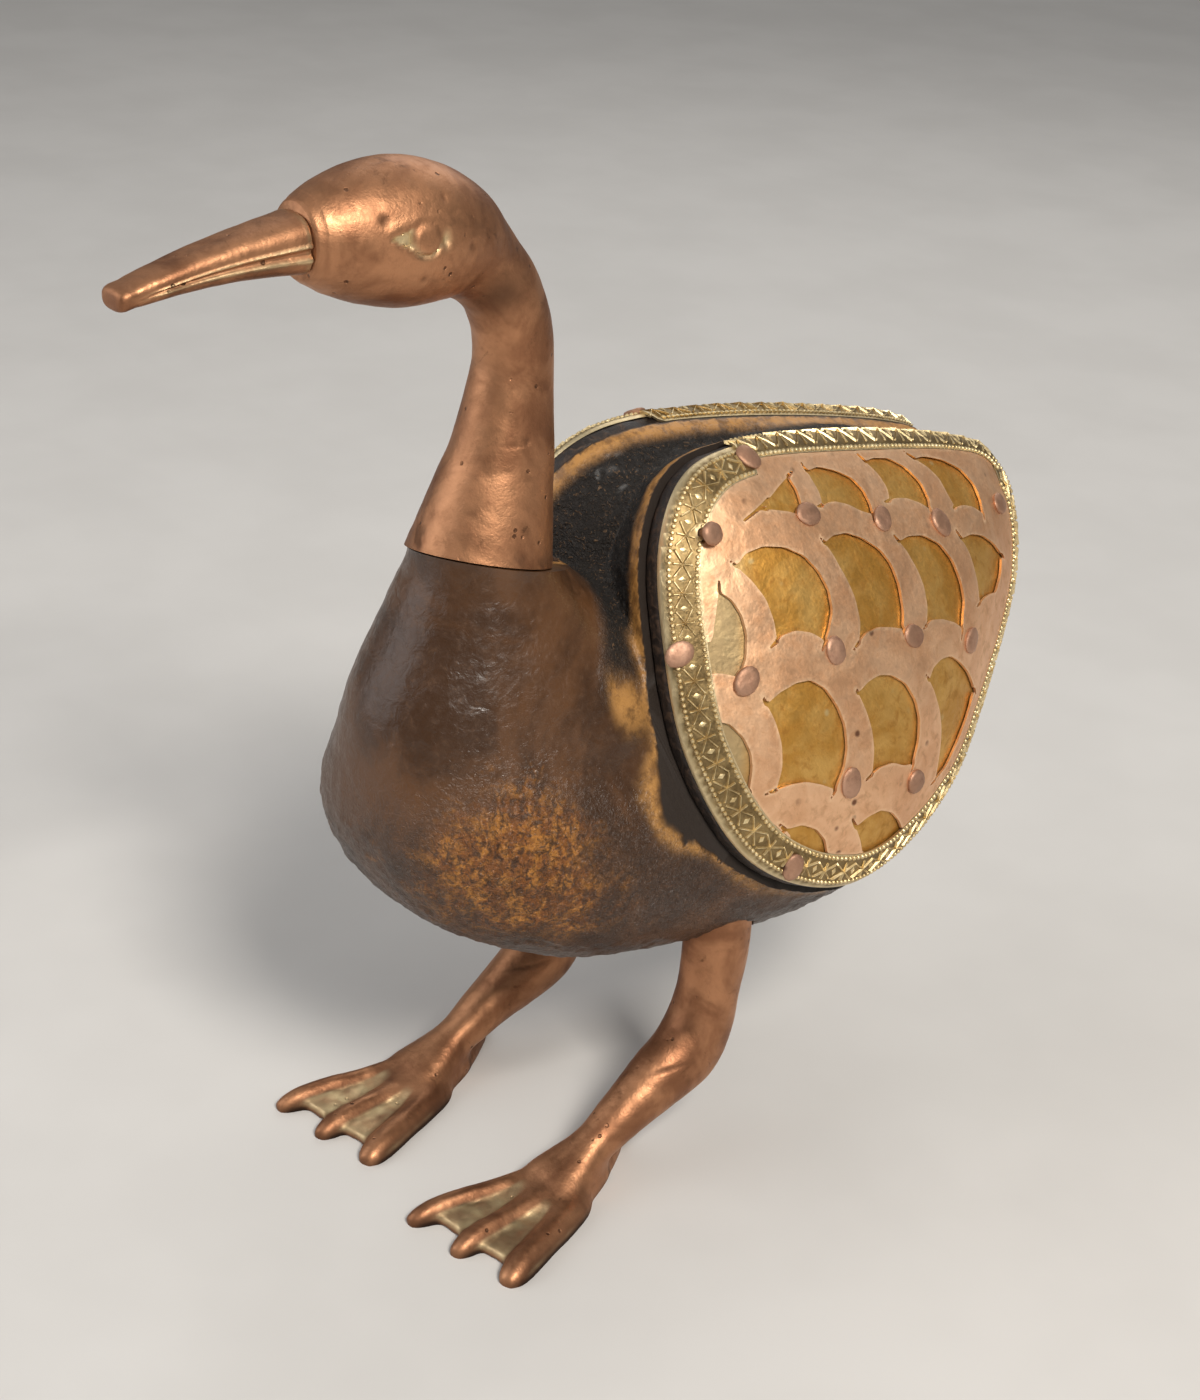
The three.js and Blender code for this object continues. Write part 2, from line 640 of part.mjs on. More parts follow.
function nailSolid(spot) {
  const normal = domeNormal(spot.u, spot.v);
  const base = nailFoot(spot, 0);
  const turn = new THREE.Quaternion().setFromUnitVectors(new THREE.Vector3(0, 0, 1), normal);
  const rings = [[nailShankRadius, -nailLength - latticeBase], [nailShankRadius, 0], [nailHeadRadius, 0],
    [nailHeadRadius * 0.93, nailHeadHeight * 0.5], [nailHeadRadius * 0.55, nailHeadHeight]];
  return loft(rings.map(([radius, height]) => {
    const ring = [];
    for (let i = 0; i < nailSides; i++) {
      const angle = i / nailSides * 2 * Math.PI;
      const oval = 1 + (radius > nailShankRadius ? 0.1 * Math.cos(2 * angle + spot.u) : 0);
      const point = new THREE.Vector3(radius * oval * Math.cos(angle), radius * oval * Math.sin(angle), height);
      ring.push(point.applyQuaternion(turn).add(base));
    }
    return ring;
  }));
}

function nailBore(spot) {
  const normal = domeNormal(spot.u, spot.v);
  const base = nailFoot(spot, 0);
  return bar(base.clone().addScaledVector(normal, 3),
    base.clone().addScaledVector(normal, -nailLength - latticeBase - seatGap), nailShankRadius + seatGap, 6);
}

const pivotTop = domeHeightAt(pivotU, pivotV) + latticeBase + latticeThickness + pivotLift;

function pivotSolid() {
  const head = seatDisc(pivotU, pivotV, pivotHeadRadius, pivotTop, pivotTop + 1.1, 12);
  return head.add(seatDisc(pivotU, pivotV, pivotRadius, -pivotDepth, pivotTop + 0.5, 16));
}

function scaleOpenings() {
  let openings = null;
  for (let row = -1; row < 4; row++) {
    for (let column = -2; column < 6; column++) {
      const u = scaleFirstU + column * scalePitchU + row * scaleRowShift;
      const v = scaleFirstV - row * scalePitchV;
      if (insetAt(u, v) < -14) continue;
      const blocked = scaleRadius + scaleBand;
      const scale = seatDisc(u, v, scaleRadius, -8, 30, 16)
        .subtract(seatDisc(u - scalePitchU, v, blocked, -9, 31, 20))
        .subtract(seatDisc(u + scaleRowShift, v - scalePitchV, blocked, -9, 31, 20));
      openings = openings ? openings.add(scale) : scale;
    }
  }
  return openings;
}

function wingPieces() {
  const innerInset = borderWidth + seatGap;
  const topZone = seatBlock(topStripStartU, topStripEndU, 18, 60, -9, 31);
  const topZoneWide = seatBlock(topStripStartU - seatGap, topStripEndU + seatGap, 18, 60, -9, 31);
  const strip = edgeStrip(borderWidth, latticeBase, latticeBase + borderThickness);
  const pieces = {
    core: domeSolid(),
    sheet: domeSkin(0.3, seatGap, sheetTop),
    lattice: domeSkin(innerInset, latticeBase, latticeBase + latticeThickness).subtract(scaleOpenings()),
    border: strip.subtract(topZoneWide),
    top_strip: strip.intersect(topZone),
  };
  let bores = seatDisc(pivotU, pivotV, pivotRadius + pivotClearance, -1, 40, 16);
  for (const spot of nailSpots) bores = bores.add(nailBore(spot));
  for (const key of Object.keys(pieces)) pieces[key] = pieces[key].subtract(bores);
  return pieces;
}

function pocketSolid() {
  const shape = new THREE.Shape();
  const c = pocketCorner;
  shape.moveTo(pocketFrontU + c, pocketLowV);
  shape.lineTo(pocketTailU - c, pocketLowV);
  shape.absarc(pocketTailU - c, pocketLowV + c, c, -Math.PI / 2, 0);
  shape.absarc(pocketTailU - c, pocketTopV - c, c, 0, Math.PI / 2);
  shape.absarc(pocketFrontU + c, pocketTopV - c, c, Math.PI / 2, Math.PI);
  shape.absarc(pocketFrontU + c, pocketLowV + c, c, Math.PI, Math.PI * 1.5);
  const geometry = new THREE.ExtrudeGeometry(shape, { depth: 60, bevelEnabled: false, curveSegments: 5 });
  geometry.translate(0, 0, -55);
  geometry.applyMatrix4(seatFrame);
  return solidOf(geometry).subtract(boxSolid([-90, -90, 0], [pocketFloorX, 190, 190]));
}

// Assembly

let bodyWood = eggSolid().add(stubSolid()).add(flankSolid()).add(rightSide(flankSolid()));
bodyWood = bodyWood.subtract(bar(seamPoint(-seatGap / 2), seamPoint(60), seamRadius * 1.42, 24));
bodyWood = bodyWood.subtract(dowelSolid(seatGap, 20));
const seatCuts = seatBlock(-120, 120, -120, 120, 0, 90)
  .add(pocketSolid())
  .add(seatDisc(pivotU, pivotV, pivotRadius + seatGap, -pivotDepth - seatGap, 5, 12));
for (const cut of [seatCuts, rightSide(seatCuts)]) bodyWood = bodyWood.subtract(cut);
for (const x of [leftLegX, rightLegX]) {
  bodyWood = bodyWood.subtract(bar(new THREE.Vector3(x, thighTopY, -5),
    new THREE.Vector3(x, thighTopY, thighEndZ + seatGap), thighRadius + seatGap, 14));
}

place('body', bodyWood, wood);
place('neck_dowel', dowelSolid(0, 0), copper);
place('head_and_neck', castingSolid(), copper);
place('beak', beakSolid(), copper);
place('left_leg', legSolid().translate([leftLegX, 0, 0]), copper);
place('right_leg', legSolid().translate([rightLegX, 0, 0]), copper);

const pieces = wingPieces();
const finishes = { core: wood, sheet: brass, lattice: sheetCopper, border: gilding, top_strip: gilding };
for (const side of ['left', 'right']) {
  const sided = (solid) => (side === 'left' ? solid : rightSide(solid));
  for (const key of Object.keys(pieces)) place(`${side}_wing_${key}`, sided(pieces[key]), finishes[key]);
  nailSpots.forEach((spot, i) => {
    const number = String(i + 1).padStart(2, '0');
    place(`${side}_wing_nail_${number}`, sided(nailSolid(spot)), nailCopper);
  });
  place(`${side}_pivot_pin`, sided(pivotSolid()), nailCopper);
}

// The origin lies on the floor under the middle of the whole duck
const bounds = new THREE.Box3().setFromObject(duck);
duck.position.set(-(bounds.min.x + bounds.max.x) / 2, -(bounds.min.y + bounds.max.y) / 2, -bounds.min.z);

export default group;
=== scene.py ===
"""Looks of the duck box: carved body, cast head and legs, and two metal-covered wing lids.

Lengths in the classes are millimetres in the duck's own frame: its mid-plane is x = 0, it looks along -Y, and
the floor is z = 0. FRAME_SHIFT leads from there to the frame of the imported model, and MM from millimetres to metres.
A wing lid is laid out in its seat's plane, where u runs tailward, v up the seat and w outward.
"""
import sys

import json
import logging
import math
from dataclasses import dataclass
from enum import Enum
from typing import Callable, Iterable, Optional, Sequence

import bmesh
import bpy
import numpy as np
from mathutils import Matrix, Vector, noise

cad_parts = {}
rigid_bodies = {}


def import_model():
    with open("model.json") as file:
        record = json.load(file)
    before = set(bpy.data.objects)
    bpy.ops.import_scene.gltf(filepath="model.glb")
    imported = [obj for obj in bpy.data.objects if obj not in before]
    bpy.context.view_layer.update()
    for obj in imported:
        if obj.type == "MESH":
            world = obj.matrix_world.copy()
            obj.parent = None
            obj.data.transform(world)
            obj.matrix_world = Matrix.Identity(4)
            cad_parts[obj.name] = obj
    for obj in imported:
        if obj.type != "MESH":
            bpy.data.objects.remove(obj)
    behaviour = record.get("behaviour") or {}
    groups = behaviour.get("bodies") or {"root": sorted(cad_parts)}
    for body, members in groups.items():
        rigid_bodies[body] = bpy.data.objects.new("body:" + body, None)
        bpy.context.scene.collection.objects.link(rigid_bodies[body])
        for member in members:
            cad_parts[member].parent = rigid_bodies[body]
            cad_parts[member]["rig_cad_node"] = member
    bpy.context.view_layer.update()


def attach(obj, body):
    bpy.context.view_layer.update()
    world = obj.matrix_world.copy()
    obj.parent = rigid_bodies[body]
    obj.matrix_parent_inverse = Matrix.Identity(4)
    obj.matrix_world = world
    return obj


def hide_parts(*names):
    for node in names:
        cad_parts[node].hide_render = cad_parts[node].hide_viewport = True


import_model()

MM = 0.001
FRAME_SHIFT = np.array([0.0413, 5.4029, 0.0])
LOG = logging.getLogger("duck")

Socket = bpy.types.NodeSocket
Piece = bpy.types.Object
Triple = tuple[float, float, float]
Colour = Triple
Pair = tuple[float, float]
Spot = tuple[float, float, float, np.ndarray]  # u, v, size and direction of a stamp


# Curves


def spline_point(points: np.ndarray, t: float, closed: bool = False) -> np.ndarray:
    """Point on a centripetal Catmull-Rom curve.

    Args:
        points: Points that the curve passes through, one a row.
        t: Position, 0 to 1, with equal shares for all segments.
        closed: Whether the last point joins the first.

    Returns:
        The point.
    """
    count = len(points)
    place = (count - (0 if closed else 1)) * t
    index = int(math.floor(place))
    weight = place - index
    if not closed and index >= count - 1:
        index, weight = count - 2, 1.0
    p1 = points[index % count]
    p2 = points[(index + 1) % count]
    p0 = points[(index - 1) % count] if closed or index > 0 else 2 * points[0] - points[1]
    p3 = points[(index + 2) % count] if closed or index + 2 < count else 2 * points[-1] - points[-2]
    gaps = [max(float(np.linalg.norm(b - a)), 1e-8) ** 0.5 for a, b in ((p0, p1), (p1, p2), (p2, p3))]
    d0, d1, d2 = gaps
    t1 = ((p1 - p0) / d0 - (p2 - p0) / (d0 + d1) + (p2 - p1) / d1) * d1
    t2 = ((p2 - p1) / d1 - (p3 - p1) / (d1 + d2) + (p3 - p2) / d2) * d1
    w = weight
    return p1 + t1 * w + (-3 * p1 + 3 * p2 - 2 * t1 - t2) * w * w + (2 * p1 - 2 * p2 + t1 + t2) * w ** 3


def along(pairs: Sequence[Sequence[float]], position: float) -> float:
    """Value at a position on a smooth curve through (position, value) pairs."""
    last = len(pairs) - 1
    if position <= pairs[0][0]:
        return pairs[0][1]
    if position >= pairs[last][0]:
        return pairs[last][1]
    k = 0
    while pairs[k + 1][0] < position:
        k += 1

    def slope(i: int) -> float:
        """Slope of the curve at pair i."""
        a, b = max(0, i - 1), min(last, i + 1)
        return (pairs[b][1] - pairs[a][1]) / (pairs[b][0] - pairs[a][0])

    span = pairs[k + 1][0] - pairs[k][0]
    s = (position - pairs[k][0]) / span
    return ((1 + 2 * s) * (1 - s) ** 2 * pairs[k][1] + s * (1 - s) ** 2 * span * slope(k)
            + s * s * (3 - 2 * s) * pairs[k + 1][1] + s * s * (s - 1) * span * slope(k + 1))


def smooth_step(low: float, high: float, value: np.ndarray) -> np.ndarray:
    """Smooth rise from 0 at low to 1 at high, for an array."""
    t = np.clip((value - low) / (high - low), 0.0, 1.0)
    return t * t * (3 - 2 * t)


def wave(points: np.ndarray, scale: float, octaves: int = 1, seed: float = 0.0) -> np.ndarray:
    """Smooth noise, about -1 to 1, at points in millimetres.

    Args:
        points: Points, one a row.
        scale: Size of a bump in millimetres.
        octaves: How many layers, each half as large as the last.
        seed: Moves the pattern.

    Returns:
        One value a point.
    """
    shift = Vector((seed, seed * 1.7, seed * 0.6))
    scaled = points / scale
    if octaves == 1:
        return np.array([noise.noise(Vector(p) + shift) for p in scaled])
    return np.array([noise.fractal(Vector(p) + shift, 1.0, 2.0, octaves) for p in scaled])


def round_angles(sides: int) -> np.ndarray:
    """Evenly spaced angles round a circle, from 0."""
    return np.arange(sides) / sides * 2 * math.pi


def level_oval(angles: np.ndarray, half_x: np.ndarray | float, half_y: np.ndarray | float,
               z: np.ndarray | float) -> np.ndarray:
    """Points of an oval round the origin, at a height."""
    return np.stack([half_x * np.cos(angles), half_y * np.sin(angles), np.full(len(angles), z)], 1)


def segment_distance(x: np.ndarray, y: np.ndarray, a: np.ndarray, b: np.ndarray) -> tuple[np.ndarray, np.ndarray]:
    """Distance from flat points to a segment, and how far along it the nearest place lies, 0 to 1."""
    dx, dy = b - a
    t = np.clip(((x - a[0]) * dx + (y - a[1]) * dy) / (dx * dx + dy * dy), 0, 1)
    return np.hypot(x - a[0] - dx * t, y - a[1] - dy * t), t


# Meshes


def new_piece(name: str, points: np.ndarray, faces: Iterable[Sequence[int]]) -> Piece:
    """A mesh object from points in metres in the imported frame, smooth shaded."""
    mesh = bpy.data.meshes.new(name)
    mesh.from_pydata([tuple(p) for p in points], [], [tuple(f) for f in faces])
    mesh.update()
    mesh.shade_smooth()
    piece = bpy.data.objects.new(name, mesh)
    bpy.context.scene.collection.objects.link(piece)
    return piece


def loft(rings: np.ndarray) -> tuple[np.ndarray, list[tuple[int, ...]]]:
    """Closed skin through rings with equal counts, with a fan over each end.

    Args:
        rings: Array of rings by points by 3.

    Returns:
        The points and the faces.
    """
    count, sides, _ = rings.shape
    points = np.concatenate([rings.reshape(-1, 3), rings[0].mean(0)[None], rings[-1].mean(0)[None]])
    faces: list[tuple[int, ...]] = []
    for r in range(count - 1):
        for i in range(sides):
            j = (i + 1) % sides
            faces.append((r * sides + i, r * sides + j, (r + 1) * sides + j, (r + 1) * sides + i))
    first, last = count * sides, count * sides + 1
    for i in range(sides):
        j = (i + 1) % sides
        faces.append((first, j, i))
        faces.append((last, (count - 1) * sides + i, (count - 1) * sides + j))
    return points, faces


def to_frame(points: np.ndarray) -> np.ndarray:
    """Points of the duck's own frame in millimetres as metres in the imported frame."""
    return (points + FRAME_SHIFT) * MM


def from_frame(points: np.ndarray) -> np.ndarray:
    """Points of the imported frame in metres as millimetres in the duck's own frame."""
    return points / MM - FRAME_SHIFT


def loft_piece(name: str, rings: np.ndarray) -> Piece:
    """A closed loft as an object whose faces point outwards."""
    points, faces = loft(rings)
    piece = new_piece(name, to_frame(points), faces)
    face_out(piece)
    return piece


def face_out(piece: Piece) -> None:
    """Turns the faces of a closed mesh outwards."""
    work = bmesh.new()
    work.from_mesh(piece.data)
    bmesh.ops.recalc_face_normals(work, faces=work.faces)
    work.to_mesh(piece.data)
    work.free()


def tube_rings(stations: Sequence[Sequence[float]], steps: int, sides: int) -> np.ndarray:
    """Rings round a path.

    Args:
        stations: (x, y, z, half size along X, half size across the path) for each station.
        steps: Steps along the path.
        sides: Points in a ring.

    Returns:
        Rings by points by 3.
    """
    table = np.array(stations, dtype=float)
    centres, last = table[:, :3], len(table) - 1
    widths = [(i / last, s[3]) for i, s in enumerate(table)]
    heights = [(i / last, s[4]) for i, s in enumerate(table)]
    angles = round_angles(sides)
    rings = []
    for k in range(steps + 1):
        t = k / steps
        centre = spline_point(centres, t)
        ahead = spline_point(centres, min(1, t + 1e-3)) - spline_point(centres, max(0, t - 1e-3))
        ahead /= np.linalg.norm(ahead)
        side = np.array([1.0, 0, 0]) - ahead * ahead[0]
        side /= np.linalg.norm(side)
        up = np.cross(side, ahead)
        rings.append(centre + np.outer(np.cos(angles), side) * along(widths, t)
                     + np.outer(np.sin(angles), up) * along(heights, t))
    return np.array(rings)


def bake(piece: Piece) -> None:
    """Turns a piece's modifiers into its mesh."""
    graph = bpy.context.evaluated_depsgraph_get()
    mesh = bpy.data.meshes.new_from_object(piece.evaluated_get(graph), preserve_all_data_layers=True, depsgraph=graph)
    old = piece.data
    piece.modifiers.clear()
    piece.data = mesh
    mesh.name = piece.name
    bpy.data.meshes.remove(old)


def joined(name: str, parts: Sequence[Piece]) -> Piece:
    """One object from several, which are used up."""
    work = bmesh.new()
    for part in parts:
        work.from_mesh(part.data)
    mesh = bpy.data.meshes.new(name)
    work.to_mesh(mesh)
    work.free()
    mesh.shade_smooth()
    for part in parts:
        discard(part)
    piece = bpy.data.objects.new(name, mesh)
    bpy.context.scene.collection.objects.link(piece)
    return piece


def discard(piece: Piece) -> None:
    """Deletes a helper object and its mesh."""
    mesh = piece.data
    bpy.data.objects.remove(piece)
    bpy.data.meshes.remove(mesh)


def fuse(piece: Piece, voxel: float, rounds: int) -> None:
    """Fuses overlapping shells into one skin and softens it.

    Args:
        piece: Object with closed shells.
        voxel: Size of the new faces in millimetres.
        rounds: Rounds of smoothing.
    """
    remesh = piece.modifiers.new("fuse", "REMESH")
    remesh.mode = "VOXEL"
    remesh.voxel_size = voxel * MM
    remesh.use_smooth_shade = True
    smooth = piece.modifiers.new("smooth", "SMOOTH")
    smooth.iterations = rounds
    bake(piece)


def soften(piece: Piece, weights: np.ndarray, rounds: int) -> None:
    """Smooths a piece where its weights, taken in tenths, are above zero."""
    group = piece.vertex_groups.new(name="soften")
    tenths = np.round(weights * 10)
    for level in range(1, 11):
        chosen = np.nonzero(tenths == level)[0]
        if len(chosen):
            group.add(chosen.tolist(), level / 10, "REPLACE")
    modifier = piece.modifiers.new("soften", "SMOOTH")
    modifier.vertex_group = "soften"
    modifier.iterations = rounds
    bake(piece)
    piece.vertex_groups.clear()


def cut_away(piece: Piece, cutters: Sequence[Piece]) -> None:
    """Takes closed cutters, which are used up, out of a piece."""
    for cutter in cutters:
        face_out(cutter)
        cut = piece.modifiers.new("cut", "BOOLEAN")
        cut.operation = "DIFFERENCE"
        cut.solver = "EXACT"
        cut.object = cutter
        bake(piece)
        discard(cutter)


def slice_off(piece: Piece, point: Sequence[float], normal: Sequence[float]) -> None:
    """Cuts off what lies on the normal's side of a plane and closes the cut.

    Args:
        piece: Closed mesh.
        point: A point on the plane, millimetres.
        normal: Direction of the side that goes.
    """
    work = bmesh.new()
    work.from_mesh(piece.data)
    place = Vector(to_frame(np.array(point, dtype=float)))
    result = bmesh.ops.bisect_plane(work, geom=work.verts[:] + work.edges[:] + work.faces[:], dist=1e-7,
                                    plane_co=place, plane_no=Vector(normal), clear_outer=True)
    edges = [e for e in result["geom_cut"] if isinstance(e, bmesh.types.BMEdge)]
    filled = bmesh.ops.edgeloop_fill(work, edges=edges)
    for face in filled["faces"]:
        face.smooth = False
    work.to_mesh(piece.data)
    work.free()


def vertex_rows(piece: Piece, kind: str) -> np.ndarray:
    """What a piece's vertices say of one kind, co or normal, a row for each."""
    raw = np.empty(len(piece.data.vertices) * 3)
    piece.data.vertices.foreach_get(kind, raw)
    return raw.reshape(-1, 3)


def points_of(piece: Piece) -> np.ndarray:
    """A piece's points as millimetres in the duck's own frame."""
    return from_frame(vertex_rows(piece, "co"))


def set_points(piece: Piece, points: np.ndarray) -> None:
    """Moves a piece's points to places in the duck's own frame."""
    piece.data.vertices.foreach_set("co", to_frame(points).ravel())
    piece.data.update()


def raise_skin(piece: Piece, heights: np.ndarray) -> None:
    """Moves each point along its normal by a height in millimetres."""
    set_points(piece, points_of(piece) + vertex_rows(piece, "normal") * heights[:, None])


def mark(piece: Piece, name: str, values: np.ndarray) -> None:
    """Stores one number a point for a material to read."""
    layer = piece.data.attributes.new(name, "FLOAT", "POINT")
    layer.data.foreach_set("value", np.asarray(values, dtype=np.float32))


def crease(piece: Piece, degrees: float) -> None:
    """Smooth shading with sharp edges over an angle."""
    piece.data.shade_smooth()
    piece.data.set_sharp_from_angle(angle=math.radians(degrees))


def finish_piece(piece: Piece, material: bpy.types.Material, body: str,
                 nodes: Sequence[str] = ()) -> None:
    """Dresses a piece, makes it ride on its body and lets it stand for CAD nodes."""
    piece.data.materials.clear()
    piece.data.materials.append(material)
    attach(piece, body)
    if nodes:
        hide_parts(*nodes)
    LOG.info("%s: %d faces on %s", piece.name, len(piece.data.polygons), body)


# Finishes


def fill(tree: bpy.types.NodeTree, socket: Socket, value: object) -> None:
    """Links an output to an input, or sets the input's own value."""
    if isinstance(value, bpy.types.NodeSocket):
        tree.links.new(value, socket)
    else:
        socket.default_value = value


def add_node(tree: bpy.types.NodeTree, kind: str, inputs: Optional[dict[str | int, object]] = None,
             **settings: object) -> bpy.types.Node:
    """Adds a node to a tree.

    Args:
        tree: The tree.
        kind: The node's type.
        inputs: What goes into its inputs, by name or number: an output of another node, or a value.
        **settings: Its options.

    Returns:
        The node.
    """
    made = tree.nodes.new(kind)
    for key, value in settings.items():
        setattr(made, key, value)
    for key, value in (inputs or {}).items():
        fill(tree, made.inputs[key], value)
    return made


class Graph:
    """A material under construction: its nodes read object coordinates in millimetres."""

    COAT_ROUGHNESS = 0.25

    def __init__(self, name: str) -> None:
        """Starts a material with one shader."""
        self.material = bpy.data.materials.new(name)
        self.material.use_nodes = True
        self.tree = self.material.node_tree
        self.shader = self.tree.nodes["Principled BSDF"]
        self.place = self.mapped(self.node("ShaderNodeTexCoord").outputs["Object"], (1 / MM,) * 3)

    def node(self, kind: str, inputs: Optional[dict[str | int, object]] = None, **settings: object) -> bpy.types.Node:
        """Adds a node, sets its options and fills its sockets."""
        return add_node(self.tree, kind, inputs, **settings)

    def mapped(self, place: Socket, scale: Triple, turn: Triple = (0.0, 0.0, 0.0)) -> Socket:
        """Coordinates scaled and turned."""
        return self.node("ShaderNodeMapping", {"Vector": place, "Scale": scale, "Rotation": turn}).outputs["Vector"]

    def noise(self, size: float, detail: float = 3.0, rough: float = 0.55, warp: float = 0.0,
              place: Optional[Socket] = None) -> Socket:
        """Noise with bumps of a size in millimetres."""
        made = self.node("ShaderNodeTexNoise", {"Vector": place or self.place, "Scale": 1 / size, "Detail": detail,
                                                "Roughness": rough, "Distortion": warp})
        return made.outputs["Fac"]

    def cells(self, size: float) -> Socket:
        """Distance to the nearest of scattered points about size apart."""
        return self.node("ShaderNodeTexVoronoi", {"Vector": self.place, "Scale": 1 / size}).outputs["Distance"]

    def ramp(self, value: Socket, low: float, high: float, start: float = 0.0, end: float = 1.0) -> Socket:
        """Smooth change from start to end as value goes from low to high."""
        made = self.node("ShaderNodeMapRange", {0: value, 1: low, 2: high, 3: start, 4: end},
                         interpolation_type="SMOOTHSTEP")
        return made.outputs[0]

    def math(self, kind: str, a: Socket | float, b: Socket | float) -> Socket:
        """One sum, product or the like."""
        return self.node("ShaderNodeMath", {0: a, 1: b}, operation=kind).outputs[0]

    def times(self, a: Socket | float, b: Socket | float) -> Socket:
        """Product of two numbers."""
        return self.math("MULTIPLY", a, b)

    def mix(self, share: Socket, a: Socket | Colour, b: Socket | Colour) -> Socket:
        """Mix of two colours."""
        first, second = (c if isinstance(c, bpy.types.NodeSocket) else (*c, 1.0) for c in (a, b))
        return self.node("ShaderNodeMix", {0: share, 6: first, 7: second}, data_type="RGBA").outputs[2]

    def read(self, name: str) -> Socket:
        """A number stored on the mesh."""
        return self.node("ShaderNodeAttribute", attribute_name=name).outputs["Fac"]

    def bump(self, height: Socket, depth: float, under: Optional[Socket] = None) -> Socket:
        """Bump of a depth in millimetres."""
        inputs = {"Height": height, "Strength": 1.0, "Distance": depth * MM}
        if under is not None:
            inputs["Normal"] = under
        return self.node("ShaderNodeBump", inputs).outputs["Normal"]

    def done(self, colour: Socket, rough: Socket | float, normal: Socket, metal: float, coat: float = 0.0,
             specular: float = 0.5) -> bpy.types.Material:
        """Fills the shader and returns the material."""
        for key, value in (("Base Color", colour), ("Roughness", rough), ("Normal", normal), ("Metallic", metal),
                           ("Coat Weight", coat), ("Coat Roughness", self.COAT_ROUGHNESS),
                           ("Specular IOR Level", specular)):
            fill(self.tree, self.shader.inputs[key], value)
        return self.material


@dataclass(frozen=True)
class CastCopper:
    """Cast copper alloy with a brown patina, small casting pits, brassy rubbed places, and sooty dirt and painted shade
    where the mesh marks them.
    """

    name: str = "cast_copper"
    rubbed: Colour = (0.48, 0.235, 0.12)
    brown: Colour = (0.27, 0.12, 0.06)
    dark: Colour = (0.085, 0.04, 0.023)
    brass: Colour = (0.68, 0.54, 0.31)
    soot: Colour = (0.04, 0.022, 0.015)
    metal: float = 0.92

    def build(self) -> bpy.types.Material:
        """Makes the material."""
        g = Graph(self.name)
        clouds = g.noise(14.0, 4.0, 0.6, 0.6)
        streaks = g.noise(3.2, 5.0, 0.65, 0.3)
        grime = g.noise(7.0, 6.0, 0.7, 1.2)
        colour = g.mix(g.ramp(clouds, 0.36, 0.62), self.brown, self.rubbed)
        colour = g.mix(g.ramp(streaks, 0.5, 0.8, 0.0, 0.35), colour, self.dark)
        colour = g.mix(g.ramp(grime, 0.6, 0.74, 0.0, 0.75), colour, self.dark)
        pit = g.times(g.ramp(g.cells(2.6), 0.1, 0.17, 1.0, 0.0), g.ramp(g.noise(6.0, 2.0), 0.5, 0.6))
        colour = g.mix(g.times(pit, 0.8), colour, self.dark)
        colour = g.mix(g.read("brass"), colour, self.brass)
        # The soot mark carries soot in the pits and at the neck's foot, and painted shade under the head, near the
        # floor and in the creases between toes and web.
        soot = g.read("soot")
        colour = g.mix(soot, colour, self.soot)
        rough = g.math("ADD", g.ramp(streaks, 0.3, 0.75, 0.40, 0.58), g.times(soot, 0.3))
        normal = g.bump(g.noise(1.6, 4.0, 0.6), 0.1)
        normal = g.bump(g.noise(0.45, 2.0), 0.03, normal)
        normal = g.bump(g.times(pit, -1.0), 0.22, normal)
        return g.done(colour, rough, normal, self.metal)


